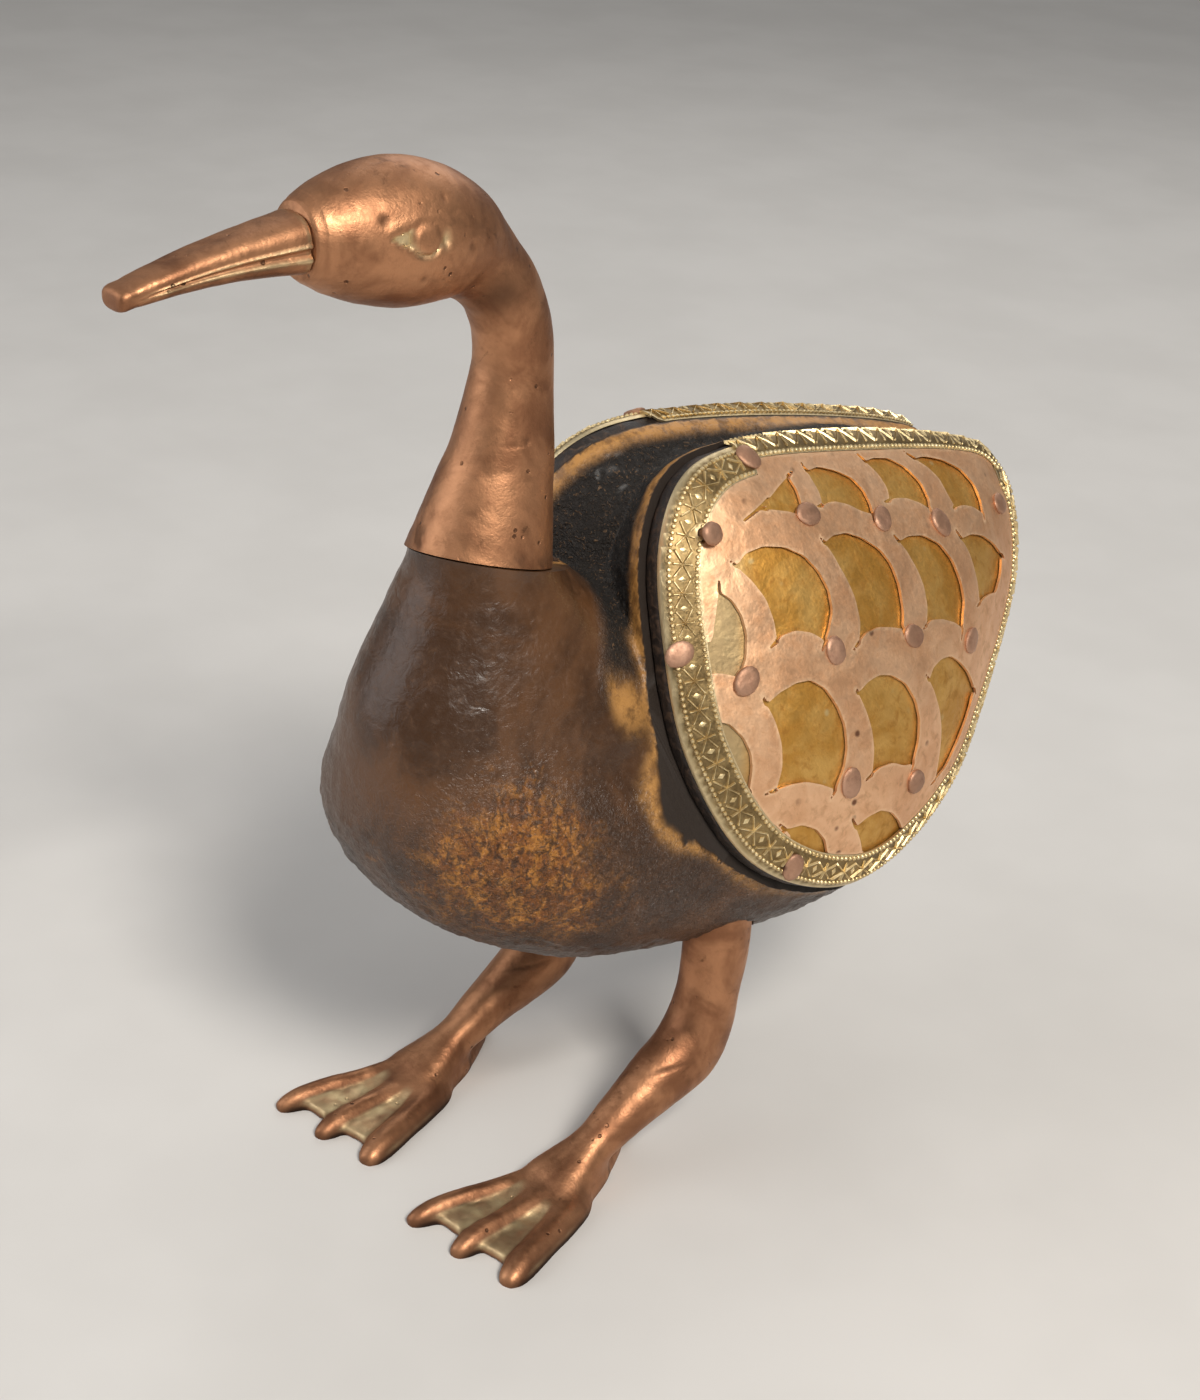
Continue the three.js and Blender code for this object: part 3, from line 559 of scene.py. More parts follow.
@dataclass(frozen=True)
class CarvedWood:
    """Dark lacquered wood: wrinkled skin, golden where it is worn, black and tooled on the back."""

    name: str = "carved_wood"
    lacquer: Colour = (0.046, 0.02, 0.008)
    brown: Colour = (0.098, 0.043, 0.017)
    gold: Colour = (0.45, 0.185, 0.033)
    amber: Colour = (0.22, 0.075, 0.014)
    black: Colour = (0.01, 0.007, 0.005)
    rim: Colour = (0.42, 0.21, 0.06)
    streak: Colour = (0.14, 0.068, 0.03)
    fleck: Colour = (0.2, 0.11, 0.05)
    hollow: Colour = (0.017, 0.010, 0.006)
    coat: float = 0.1
    specular: float = 0.42

    def build(self) -> bpy.types.Material:
        """Makes the material."""
        g = Graph(self.name)
        clouds = g.noise(22.0, 4.0, 0.6, 0.8)
        fine = g.noise(1.5, 4.0, 0.65, 0.5)
        colour = g.mix(g.ramp(clouds, 0.38, 0.64), self.lacquer, self.brown)
        colour = g.mix(g.ramp(fine, 0.52, 0.75, 0.0, 0.3), colour, self.streak)
        crumbs = g.noise(1.25, 5.0, 0.7, 0.9)
        patches = g.noise(7.0, 4.0, 0.65, 0.8)
        reach = g.math("ADD", g.read("worn"), g.times(g.math("SUBTRACT", patches, 0.5), 1.5))
        share = g.times(g.ramp(reach, 0.4, 1.15), g.ramp(crumbs, 0.38, 0.58, 0.12, 1.0))
        gold = g.mix(g.ramp(g.noise(3.4, 4.0, 0.65, 0.6), 0.42, 0.6), self.amber, self.gold)
        colour = g.mix(share, colour, gold)
        tooled = g.read("tooled")
        flecks = g.ramp(g.noise(1.1, 3.0, 0.6, 2.2), 0.58, 0.68, 0.0, 0.6)
        colour = g.mix(tooled, colour, g.mix(flecks, self.black, self.fleck))
        rim = g.times(g.read("rim"), g.ramp(g.noise(3.0, 4.0, 0.7), 0.35, 0.6, 0.35, 1.0))
        colour = g.mix(rim, colour, self.rim)
        inside = g.read("inside")
        skin = g.math("SUBTRACT", 1.0, inside)
        colour = g.mix(inside, colour, self.hollow)
        dull = g.math("MAXIMUM", tooled, inside)
        rough = g.math("ADD", g.ramp(fine, 0.3, 0.7, 0.28, 0.44), g.times(dull, 0.3))
        normal = g.bump(g.times(g.noise(3.4, 3.0, 0.5, 0.8), skin), 0.3)
        normal = g.bump(g.noise(0.9, 3.0, 0.6, 0.6), 0.07, normal)
        carved = g.times(g.noise(1.1, 3.0, 0.6, 1.6), g.math("MAXIMUM", g.read("pitted"), tooled))
        normal = g.bump(g.times(carved, skin), 1.3, normal)
        return g.done(colour, rough, normal, 0.0, self.coat, self.specular)


@dataclass(frozen=True)
class BlackedWood:
    """Blackened wood of the wing blocks, brown where the edge is rubbed."""

    name: str = "blacked_wood"
    black: Colour = (0.014, 0.009, 0.007)
    brown: Colour = (0.075, 0.042, 0.024)

    def build(self) -> bpy.types.Material:
        """Makes the material."""
        g = Graph(self.name)
        grain = g.noise(2.2, 5.0, 0.65, 1.2)
        colour = g.mix(g.ramp(grain, 0.45, 0.72), self.black, self.brown)
        return g.done(colour, g.ramp(grain, 0.3, 0.7, 0.4, 0.62), g.bump(grain, 0.25), 0.0)


@dataclass(frozen=True)
class SheetMetal:
    """Thin hammered sheet with tarnish clouds, scratches and an edge colour along its cut edges, a painted highlight on
    the sawn copper.
    """

    name: str
    light: Colour
    base: Colour
    tarnish: Colour
    spots: Colour
    edge: Colour
    tarnish_share: float = 0.6
    dents: float = 0.12
    rough: float = 0.0
    grey: Colour = (0.46, 0.37, 0.22)
    metal: float = 0.85

    def build(self) -> bpy.types.Material:
        """Makes the material."""
        g = Graph(self.name)
        clouds = g.noise(11.0, 5.0, 0.62, 0.9)
        small = g.noise(2.4, 4.0, 0.65, 0.5)
        colour = g.mix(g.ramp(clouds, 0.34, 0.66), self.base, self.light)
        colour = g.mix(g.ramp(small, 0.48, 0.72, 0.0, self.tarnish_share), colour, self.tarnish)
        spots = g.times(g.ramp(g.cells(4.5), 0.07, 0.2, 1.0, 0.0), g.ramp(g.noise(9.0, 2.0), 0.5, 0.62))
        colour = g.mix(spots, colour, self.spots)
        # Cut edges take the edge colour; on the sawn copper it is paler than the sheet, a painted highlight.
        colour = g.mix(g.times(g.read("edge"), g.ramp(small, 0.3, 0.6, 0.5, 1.0)), colour, self.edge)
        scratches = g.noise(1.0, 3.0, 0.7, 0.2, g.mapped(g.place, (0.12, 2.2, 1.6), (0.5, 0.7, 0.3)))
        normal = g.bump(g.noise(5.0, 3.0, 0.5, 0.4), self.dents * 2.2)
        normal = g.bump(g.noise(1.1, 3.0, 0.6), self.dents * 0.35, normal)
        normal = g.bump(scratches, 0.025, normal)
        colour = g.mix(g.read("greyed"), colour, self.grey)
        rough = g.math("ADD", g.ramp(small, 0.3, 0.75, 0.38 + self.rough, 0.54 + self.rough),
                       g.ramp(scratches, 0.4, 0.7, -0.04, 0.06))
        return g.done(colour, rough, normal, self.metal)


@dataclass(frozen=True)
class PressedBrass:
    """Worn pressed strip: grey-brown in the ground, pale gold on what stands up, and a painted highlight in pale gold
    along its cut edges.
    """

    name: str
    ground: Colour
    worn: Colour
    edge: Colour = (0.74, 0.6, 0.36)
    metal: float = 0.88

    def build(self) -> bpy.types.Material:
        """Makes the material."""
        g = Graph(self.name)
        clouds = g.noise(4.0, 5.0, 0.65, 0.8)
        grain = g.noise(0.7, 4.0, 0.7, 0.4)
        share = g.math("ADD", g.ramp(clouds, 0.36, 0.66, 0.0, 0.65), g.ramp(grain, 0.45, 0.7, 0.0, 0.35))
        colour = g.mix(share, self.ground, self.worn)
        # Painted highlight: the strip's cut edges are tinted pale gold.
        colour = g.mix(g.read("edge"), colour, self.edge)
        return g.done(colour, g.ramp(grain, 0.3, 0.7, 0.32, 0.5), g.bump(grain, 0.08), self.metal)


# Wing lids


class Side(Enum):
    """The duck's left and right wing, with the sign of X."""

    LEFT = 1
    RIGHT = -1

    @property
    def word(self) -> str:
        """The side's name as the nodes have it."""
        return self.name.lower()


@dataclass
class WingPlan:
    """Shape of a wing lid in its seat's plane: u runs tailward, v up the seat and w outward."""

    side: Side
    seat_point: Triple = (20.2, 38.0, 97.0)
    seat_lean: float = 21.8
    seat_toe_in: float = 5.7
    top_slope: float = 12.0
    half_length: float = 52.8
    top_v: float = 37.7
    bottom_v: float = -46.5
    edge_thickness: float = 3.2
    dome_rise: float = 12.0
    dome_power: float = 2.4
    hub: Pair = (-2.0, -2.0)
    right_forward: float = 4.0
    outline: tuple[Pair, ...] = (
        (-0.62, 1.0), (-0.86, 0.86), (-0.985, 0.55), (-1.0, 0.1), (-0.93, -0.38), (-0.65, -0.83), (-0.15, -1.0),
        (0.4, -0.72), (0.75, -0.2), (0.94, 0.3), (0.94, 0.72), (0.82, 0.92), (0.6, 1.0))

    def __post_init__(self) -> None:
        """Works out the seat's directions and the outline's reach at 720 angles."""
        lean, toe = math.tan(math.radians(self.seat_lean)), math.tan(math.radians(self.seat_toe_in))
        self.out = np.array([1.0, toe, lean])
        self.out /= np.linalg.norm(self.out)
        level_u = np.array([-toe, 1.0, 0.0])
        level_u /= np.linalg.norm(level_u)
        level_v = np.cross(self.out, level_u)
        slope = math.radians(-self.top_slope)
        self.u_way = level_u * math.cos(slope) + level_v * math.sin(slope)
        self.v_way = np.cross(self.out, self.u_way)
        corners = np.array([(a * self.half_length, b * self.top_v if b > 0 else -b * self.bottom_v, 0.0)
                            for a, b in self.outline])
        loop = np.array([spline_point(corners, i / 360, True)[:2] for i in range(360)]) - np.array(self.hub)
        angles = np.unwrap(np.arctan2(loop[:, 1], loop[:, 0]))
        if angles[-1] < angles[0]:
            loop, angles = loop[::-1], angles[::-1]
        order = np.argsort(angles % (2 * math.pi))
        self.table_angle = (angles % (2 * math.pi))[order]
        self.table_reach = np.hypot(loop[:, 0], loop[:, 1])[order]

    def reach(self, angle: np.ndarray) -> np.ndarray:
        """Distance from the hub to the wing's edge at an angle."""
        return np.interp(angle % (2 * math.pi), self.table_angle, self.table_reach, period=2 * math.pi)

    def inset(self, u: np.ndarray, v: np.ndarray) -> np.ndarray:
        """Distance from a point inwards to the edge, along the ray from the hub."""
        du, dv = u - self.hub[0], v - self.hub[1]
        return self.reach(np.arctan2(dv, du)) - np.hypot(du, dv)

    def crown(self, share: np.ndarray) -> np.ndarray:
        """Height of the wooden dome over the seat at a share of the way from the hub to the edge."""
        return self.edge_thickness + self.dome_rise * (1 - np.clip(share, 0, 1) ** self.dome_power)

    def dome(self, u: np.ndarray, v: np.ndarray) -> np.ndarray:
        """Height of the wooden dome over the seat at a point."""
        du, dv = u - self.hub[0], v - self.hub[1]
        return self.crown(np.hypot(du, dv) / self.reach(np.arctan2(dv, du)))

    def skin(self, uv: np.ndarray, rolled: float = 0.0) -> np.ndarray:
        """Height of the ground that sheet, lattice and strips lie on: the dome with their shared waviness.

        Args:
            uv: Points in the seat's plane.
            rolled: How far the outermost margin is burnished down towards the wood.

        Returns:
            The heights.
        """
        flat = np.column_stack([uv, np.full(len(uv), 5.0 * self.side.value)])
        inset = self.inset(*uv.T)
        waves = (0.22 * wave(flat, 9.0, 1, 3.0) + 0.1 * wave(flat, 3.5, 1, 8.0)) * np.clip(inset / 3.0, 0.0, 1.0)
        return self.dome(*uv.T) + waves - rolled * (1 - np.clip(inset / 2.0, 0, 1)) ** 2

    def place(self, uvw: np.ndarray) -> np.ndarray:
        """Points on the seat as points of the duck's own frame."""
        u = uvw[:, 0] - (self.right_forward if self.side is Side.RIGHT else 0.0)
        points = (np.array(self.seat_point) + np.outer(u, self.u_way) + np.outer(uvw[:, 1], self.v_way)
                  + np.outer(uvw[:, 2], self.out))
        points[:, 0] *= self.side.value
        return points

    def seat_place(self, points: np.ndarray) -> np.ndarray:
        """Points of the duck's own frame as (u, v, w) on the seat."""
        own = points.copy()
        own[:, 0] *= self.side.value
        own -= np.array(self.seat_point)
        uvw = np.stack([own @ self.u_way, own @ self.v_way, own @ self.out], 1)
        if self.side is Side.RIGHT:
            uvw[:, 0] += self.right_forward
        return uvw

    def spots(self, angles: np.ndarray, ray: np.ndarray, height: np.ndarray | float) -> np.ndarray:
        """(u, v, w) at angles and distances round the hub."""
        return level_oval(angles, ray, ray, height) + np.array([*self.hub, 0.0])

    def ring(self, angles: np.ndarray, share: float, inset: float, lift: float) -> np.ndarray:
        """Points round the dome at a share of the way from the hub to an inset edge."""
        reach = self.reach(angles)
        ray = share * (reach - inset)
        return self.place(self.spots(angles, ray, self.crown(ray / reach) + lift))

    def level_ring(self, angles: np.ndarray, inset: float, w: float) -> np.ndarray:
        """Points round the wing at an inset and a height over the seat."""
        return self.place(self.spots(angles, self.reach(angles) - inset, w))


def sheet_piece(name: str, plan: WingPlan, field_at: Callable[[np.ndarray, np.ndarray], np.ndarray], spacing: float,
                low: float, high: float, rolled: float = 0.0) -> Piece:
    """A sheet laid over the wing's dome wherever a field is below zero, cut cleanly along its zero line.

    Args:
        name: The piece's name.
        plan: The wing.
        field_at: Field over (u, v): below zero on the sheet, above zero off it.
        spacing: Grid spacing in millimetres.
        low: Height of the sheet's underside over the wood.
        high: Height of its top.
        rolled: How far its outer margin is bent down.

    Returns:
        The closed sheet, with the attribute edge rising to 1 at its cut edges, where the materials paint a highlight.
    """
    us = np.arange(-plan.half_length - 4, plan.half_length + 4, spacing)
    vs = np.arange(plan.bottom_v - 4, plan.top_v + 4, spacing)
    grid_u, grid_v = (a.ravel() for a in np.meshgrid(us, vs, indexing="ij"))
    values = field_at(grid_u, grid_v)
    flat: list[Pair] = list(zip(grid_u, grid_v))
    depth: list[float] = list(values)
    cuts: dict[tuple[int, int], int] = {}

    def cut(a: int, b: int) -> int:
        """Point where the edge from a to b crosses the zero line."""
        key = (min(a, b), max(a, b))
        if key not in cuts:
            t = values[key[0]] / (values[key[0]] - values[key[1]])
            pa, pb = flat[key[0]], flat[key[1]]
            cuts[key] = len(flat)
            flat.append((pa[0] + (pb[0] - pa[0]) * t, pa[1] + (pb[1] - pa[1]) * t))
            depth.append(0.0)
        return cuts[key]

    faces: list[tuple[int, ...]] = []
    wide = len(vs)
    inside = values < 0
    for i in range(len(us) - 1):
        for j in range(wide - 1):
            a, b, c, d = i * wide + j, (i + 1) * wide + j, (i + 1) * wide + j + 1, i * wide + j + 1
            shape: list[int] = []
            for here, there in ((a, b), (b, c), (c, d), (d, a)):
                if inside[here]:
                    shape.append(here)
                if inside[here] != inside[there]:
                    shape.append(cut(here, there))
            if len(shape) >= 3:
                faces.append(tuple(shape))
    used = sorted({i for f in faces for i in f})
    index = {old: new for new, old in enumerate(used)}
    faces = [tuple(index[i] for i in f) for f in faces]
    uv = np.array([flat[i] for i in used])
    near = np.array([depth[i] for i in used])
    base = plan.skin(uv, rolled)
    top, bottom = (plan.place(np.column_stack([uv, base + level])) for level in (high, low))
    count = len(used)
    border: dict[tuple[int, int], None] = {}
    for f in faces:
        for a, b in zip(f, f[1:] + f[:1]):
            if (b, a) in border:
                del border[(b, a)]
            else:
                border[(a, b)] = None
    walls = [(b, a, a + count, b + count) for a, b in border]
    under = [tuple(i + count for i in reversed(f)) for f in faces]
    piece = new_piece(name, to_frame(np.concatenate([top, bottom])), faces + under + walls)
    face_out(piece)
    crease(piece, 50)
    # The edge mark is where the materials paint a highlight along the cut edges.
    mark(piece, "edge", np.tile(smooth_step(-0.5, -0.05, near), 2))
    return piece


@dataclass
class Openwork:
    """The fish-scale openings sawn into the lattice by hand, as outlines in (u, v), and the nails between them."""

    outlines: tuple[tuple[Pair, ...], ...] = (
        ((-30.4, 27.4), (-26.2, 30), (-22.7, 31.8), (-22, 29.2), (-22.3, 26.4), (-23.4, 24.4), (-26.2, 25.3),
         (-30.9, 26)),
        ((-17.4, 32.6), (-13.8, 33.3), (-9.3, 32.3), (-6, 30.7), (-4, 28.1), (-3.7, 25.3), (-4.2, 23.6),
         (-7.1, 24.4), (-10.4, 25.9), (-13.8, 26.6), (-17.1, 26), (-16.6, 28.7)),
        ((0.1, 33.8), (2.9, 34.4), (7.3, 34.2), (11.2, 32.2), (13.7, 28.9), (14.1, 25.6), (13.1, 23.7),
         (10.7, 25.1), (7.3, 26.2), (4.6, 26.4), (2.2, 26), (2.7, 28.4), (2, 31.1)),
        ((15.1, 33.9), (18.7, 34.2), (24, 33.3), (28.4, 31.2), (30.7, 28.1), (31.3, 24.4), (30.7, 22),
         (27.3, 23.6), (24, 24.1), (20.9, 23.6), (20.2, 26.7), (19.6, 29.8), (17.8, 32)),
        ((-43.8, 12.1), (-41.4, 10.2), (-39.8, 7.3), (-39.1, 3.7), (-39.4, 0), (-40.8, -3.7), (-44, -2.7),
         (-47.1, -2.3), (-47.6, 1.1), (-45.4, 3.7), (-44.6, 8.1)),
        ((-39.9, 16.2), (-37.6, 18.4), (-33.8, 19.4), (-29.3, 18.9), (-25.4, 17), (-22.7, 14), (-21, 10.3),
         (-20.7, 6.4), (-21.8, 3.1), (-22.9, 1.2), (-26, 3), (-29.3, 3.7), (-32.1, 3.1), (-33.4, 2.1),
         (-33.6, 5.6), (-34.9, 9.8), (-37.1, 13.1)),
        ((-19.9, 19.1), (-17.1, 20.3), (-13.2, 20.6), (-9.3, 19.4), (-5.4, 17), (-3.1, 14), (-1.8, 9.8),
         (-1.6, 5.3), (-2.3, 1.7), (-6, 2.3), (-9.3, 2.6), (-12.7, 1.8), (-14.7, 0.2), (-14, 4.2), (-14.7, 8.7),
         (-16.6, 13.1), (-18.4, 16.8)),
        ((0.7, 18.1), (4, 19), (8.4, 18.9), (12.9, 16.9), (15.7, 13.7), (17.6, 8.9), (18.2, 5.3), (16.8, 0.1),
         (14, 1.6), (9.8, 2.6), (6.4, 2.7), (4.6, 1.8), (5.4, 5.3), (5.3, 8.9), (4, 13.1), (2.2, 16.2)),
        ((20.1, 17.6), (24, 18.3), (28.4, 17.8), (32.9, 16), (36.9, 13.6), (35.8, 9.6), (32.9, 6.2), (30.1, 6.2),
         (27.3, 5.8), (24.4, 4.6), (23.9, 8.4), (23, 12), (21.8, 15)),
        ((-46.4, -11.2), (-42.9, -11.8), (-40.2, -14.7), (-38.6, -18), (-38.2, -20.8), (-38.4, -24.7),
         (-40.9, -22.2), (-43, -18.6), (-44.9, -14.4)),
        ((-36, -9.1), (-33.4, -7.2), (-29.9, -5.8), (-26.7, -5.6), (-23.6, -7.4), (-20.8, -10.9), (-18.8, -14.7),
         (-18.2, -18.6), (-18.8, -23), (-20.3, -26.6), (-23.8, -25.2), (-27.1, -24.3), (-30.4, -24.4),
         (-33.2, -25.1), (-32.4, -21.1), (-32.9, -16.9), (-34.2, -12.7)),
        ((-15.8, -9.1), (-13.1, -7.3), (-9.9, -6.3), (-6.3, -6.7), (-2.6, -8.6), (0.2, -11.9), (1.8, -15.8),
         (1.9, -20.2), (0.9, -24.3), (-2.1, -24.3), (-5.8, -23.3), (-9.3, -23.8), (-11.3, -24.9), (-11.3, -20.2),
         (-12.4, -15.8), (-14, -12)),
        ((4.6, -8.7), (6.2, -6.4), (9, -5), (12, -4.7), (15.7, -6), (20.1, -8.6), (24.4, -12.3), (22, -18),
         (18.2, -23), (15.1, -26.7), (11.3, -28.8), (10.8, -24.7), (10.3, -20.2), (8.6, -14.9), (6.6, -11.3)),
        ((-30.3, -32.8), (-26.6, -32.4), (-23.1, -33.7), (-20.2, -36.1), (-18.1, -40.2), (-22.1, -38.7),
         (-26.4, -36.2)),
        ((-13.3, -34.6), (-10.4, -33), (-7.1, -32.2), (-3.2, -33.2), (0.2, -35.2), (3.7, -37.9), (-0.4, -39.7),
         (-5.8, -40.4), (-9.6, -40), (-11, -37.6)))
    scored: tuple[Pair, ...] = ((-29.6, 27.8), (-36.6, 24.2))
    nails: tuple[Pair, ...] = (
        (-21.8, 24.0), (-2.4, 22.2), (14.6, 20.6), (38.4, 23.6), (-39.2, -4.4), (-20.6, -0.7), (0.4, 0.1),
        (20.0, -2.2), (-16.6, -25.4), (2.6, -27.5))
    cut_width: float = 0.85
    sharp_cosine: float = 0.55

    def __post_init__(self) -> None:
        """Rounds the outlines between their corners and collects the saw's overcuts."""
        self.loops: list[np.ndarray] = []
        self.overcuts: list[tuple[np.ndarray, np.ndarray]] = [(np.array(self.scored[0]), np.array(self.scored[1]))]
        for number, outline in enumerate(self.outlines):
            points = np.array(outline, dtype=float)
            count = len(points)
            ways = np.roll(points, -1, 0) - points
            ways /= np.linalg.norm(ways, axis=1)[:, None]
            sharp = [float(ways[i - 1] @ ways[i]) < self.sharp_cosine for i in range(count)]
            loop = []
            for i in range(count):
                if sharp[i]:
                    loop.append(points[i])
                    length = 0.8 + 1.5 * abs(math.sin(number * 3.7 + i * 1.9))
                    self.overcuts.append((points[i], points[i] + ways[i - 1] * length))
                    continue
                before, after = points[i - 1], points[(i + 1) % count]
                loop.extend([points[i] + (before - points[i]) * t for t in (0.3, 0.12)])
                loop.extend([points[i] + (after - points[i]) * t for t in (0.12, 0.3)])
            self.loops.append(np.array(loop))

    @staticmethod
    def loop_field(u: np.ndarray, v: np.ndarray, loop: np.ndarray) -> np.ndarray:
        """Distance to a closed loop, below zero inside it."""
        nearest = np.full_like(u, 1e9)
        inside = np.zeros(len(u), dtype=bool)
        for a, b in zip(loop, np.roll(loop, -1, 0)):
            nearest = np.minimum(nearest, segment_distance(u, v, a, b)[0])
            du, dv = b - a
            crosses = (a[1] > v) != (b[1] > v)
            inside ^= crosses & (u < a[0] + du * (v - a[1]) / (dv if dv else 1e-9))
        return np.where(inside, -nearest, nearest)

    def openings(self, u: np.ndarray, v: np.ndarray) -> np.ndarray:
        """Field below zero in the openings and in the overcuts of the saw."""
        lowest = np.full_like(u, 99.0)
        for loop in self.loops:
            low, high = loop.min(0) - 2.0, loop.max(0) + 2.0
            near = (u > low[0]) & (u < high[0]) & (v > low[1]) & (v < high[1])
            lowest[near] = np.minimum(lowest[near], self.loop_field(u[near], v[near], loop))
        for a, b in self.overcuts:
            distance, t = segment_distance(u, v, a, b)
            lowest = np.minimum(lowest, distance - self.cut_width * (0.5 - 0.22 * t))
        return lowest


@dataclass
class StampTree:
    """Geometry Nodes tree that sets copies of a small stamp on points, each turned as its point says."""

    name: str = "stamps"

    def build(self) -> tuple[bpy.types.NodeTree, dict[str, str]]:
        """Makes the tree.

        Returns:
            The tree, and the identifier of each named input.
        """
        tree = bpy.data.node_groups.new(self.name, "GeometryNodeTree")
        ids = {label: tree.interface.new_socket(label, in_out="INPUT", socket_type=f"NodeSocket{kind}").identifier
               for label, kind in (("Geometry", "Geometry"), ("Stamp", "Object"), ("Least size", "Float"),
                                   ("Largest size", "Float"), ("Seed", "Int"), ("Material", "Material"))}
        tree.interface.new_socket("Geometry", in_out="OUTPUT", socket_type="NodeSocketGeometry")
        given = add_node(tree, "NodeGroupInput").outputs
        stamp = add_node(tree, "GeometryNodeObjectInfo", {"Object": given["Stamp"]})
        turn = add_node(tree, "GeometryNodeInputNamedAttribute", {"Name": "turn"}, data_type="FLOAT_VECTOR")
        rotation = add_node(tree, "FunctionNodeEulerToRotation", {0: turn.outputs["Attribute"]})
        size = add_node(tree, "FunctionNodeRandomValue", {2: given["Least size"], 3: given["Largest size"],
                                                          "Seed": given["Seed"]}, data_type="FLOAT")
        own = add_node(tree, "GeometryNodeInputNamedAttribute", {"Name": "size"}, data_type="FLOAT")
        scale = add_node(tree, "ShaderNodeMath", {0: size.outputs[1], 1: own.outputs["Attribute"]},
                         operation="MULTIPLY")
        points = add_node(tree, "GeometryNodeMeshToPoints", {"Mesh": given["Geometry"]})
        copies = add_node(tree, "GeometryNodeInstanceOnPoints", {
            "Points": points.outputs["Points"], "Instance": stamp.outputs["Geometry"],
            "Rotation": rotation.outputs[0], "Scale": scale.outputs[0]})
        real = add_node(tree, "GeometryNodeRealizeInstances", {"Geometry": copies.outputs["Instances"]})
        paint = add_node(tree, "GeometryNodeSetMaterial", {"Geometry": real.outputs["Geometry"],
                                                           "Material": given["Material"]})
        add_node(tree, "NodeGroupOutput", {0: paint.outputs["Geometry"]})
        return tree, ids


class Stamper:
    """Sets stamps on a wing's dome with one shared node tree."""

    def __init__(self) -> None:
        """Makes the tree."""
        self.tree, self.ids = StampTree().build()

    def press(self, name: str, places: np.ndarray, turns: Sequence[Matrix], stamp: Piece,
              sizes: Pair, seed: int, material: bpy.types.Material,
              own_sizes: np.ndarray) -> Piece:
        """Makes one mesh of copies of a stamp.

        Args:
            name: The new piece's name.
            places: Where the copies go, in the duck's own frame.
            turns: How each is turned.
            stamp: The stamp, which stays.
            sizes: Least and largest size of a copy.
            seed: Seed of the sizes.
            material: The copies' material.
            own_sizes: Each copy's size besides.

        Returns:
            The piece, as a plain mesh.
        """
        piece = new_piece(name, to_frame(places), [])
        layer = piece.data.attributes.new("turn", "FLOAT_VECTOR", "POINT")
        layer.data.foreach_set("vector", np.array([m.to_euler() for m in turns], dtype=np.float32).ravel())
        mark(piece, "size", own_sizes)
        modifier = piece.modifiers.new("stamps", "NODES")
        modifier.node_group = self.tree
        for label, value in (("Stamp", stamp), ("Least size", sizes[0]), ("Largest size", sizes[1]), ("Seed", seed),
                             ("Material", material)):
            modifier[self.ids[label]] = value
        piece.update_tag()
        bpy.context.view_layer.update()
        bake(piece)
        return piece


def stamp_turn(plan: WingPlan, u: float, v: float, way: np.ndarray) -> Matrix:
    """Turn of a stamp on the dome: its Z square to the dome and its X along a direction of the (u, v) plane."""
    step = 0.4
    uv = np.array([[u, v], [u + way[0] * step, v + way[1] * step], [u - way[1] * step, v + way[0] * step]])
    here, ahead, beside = plan.place(np.column_stack([uv, plan.dome(*uv.T)]))
    x = Vector(ahead - here).normalized()
    z = x.cross(Vector(beside - here)).normalized() * plan.side.value
    y = z.cross(x)
    return Matrix((x, y, z)).transposed()


class Finishes:
    """All materials of the duck."""

    def __init__(self) -> None:
        """Makes them."""
        self.copper = CastCopper().build()
        self.wood = CarvedWood().build()
        self.black = BlackedWood().build()
        # The lattice's edge colour is a painted highlight along its sawn edges.
        self.lattice = SheetMetal("sawn_copper", light=(0.85, 0.53, 0.315), base=(0.72, 0.405, 0.22),
                                  tarnish=(0.48, 0.26, 0.13), spots=(0.2, 0.09, 0.05), edge=(0.92, 0.62, 0.38),
                                  tarnish_share=0.55, rough=0.05).build()
        self.sheet = SheetMetal("tarnished_brass", light=(0.67, 0.40, 0.115), base=(0.53, 0.27, 0.052),
                                tarnish=(0.38, 0.18, 0.035), spots=(0.62, 0.45, 0.2), edge=(0.5, 0.3, 0.1),
                                tarnish_share=0.7, dents=0.17, rough=0.08).build()
        self.ground = PressedBrass("strip_ground", ground=(0.17, 0.115, 0.05), worn=(0.36, 0.255, 0.115)).build()
        self.crest = PressedBrass("strip_crest", ground=(0.6, 0.45, 0.22), worn=(0.93, 0.78, 0.48)).build()
        self.nail = SheetMetal("nail_copper", light=(0.52, 0.31, 0.21), base=(0.39, 0.22, 0.14),
                               tarnish=(0.28, 0.15, 0.1), spots=(0.12, 0.06, 0.04), edge=(0.6, 0.38, 0.27),
                               tarnish_share=0.6, rough=0.14).build()


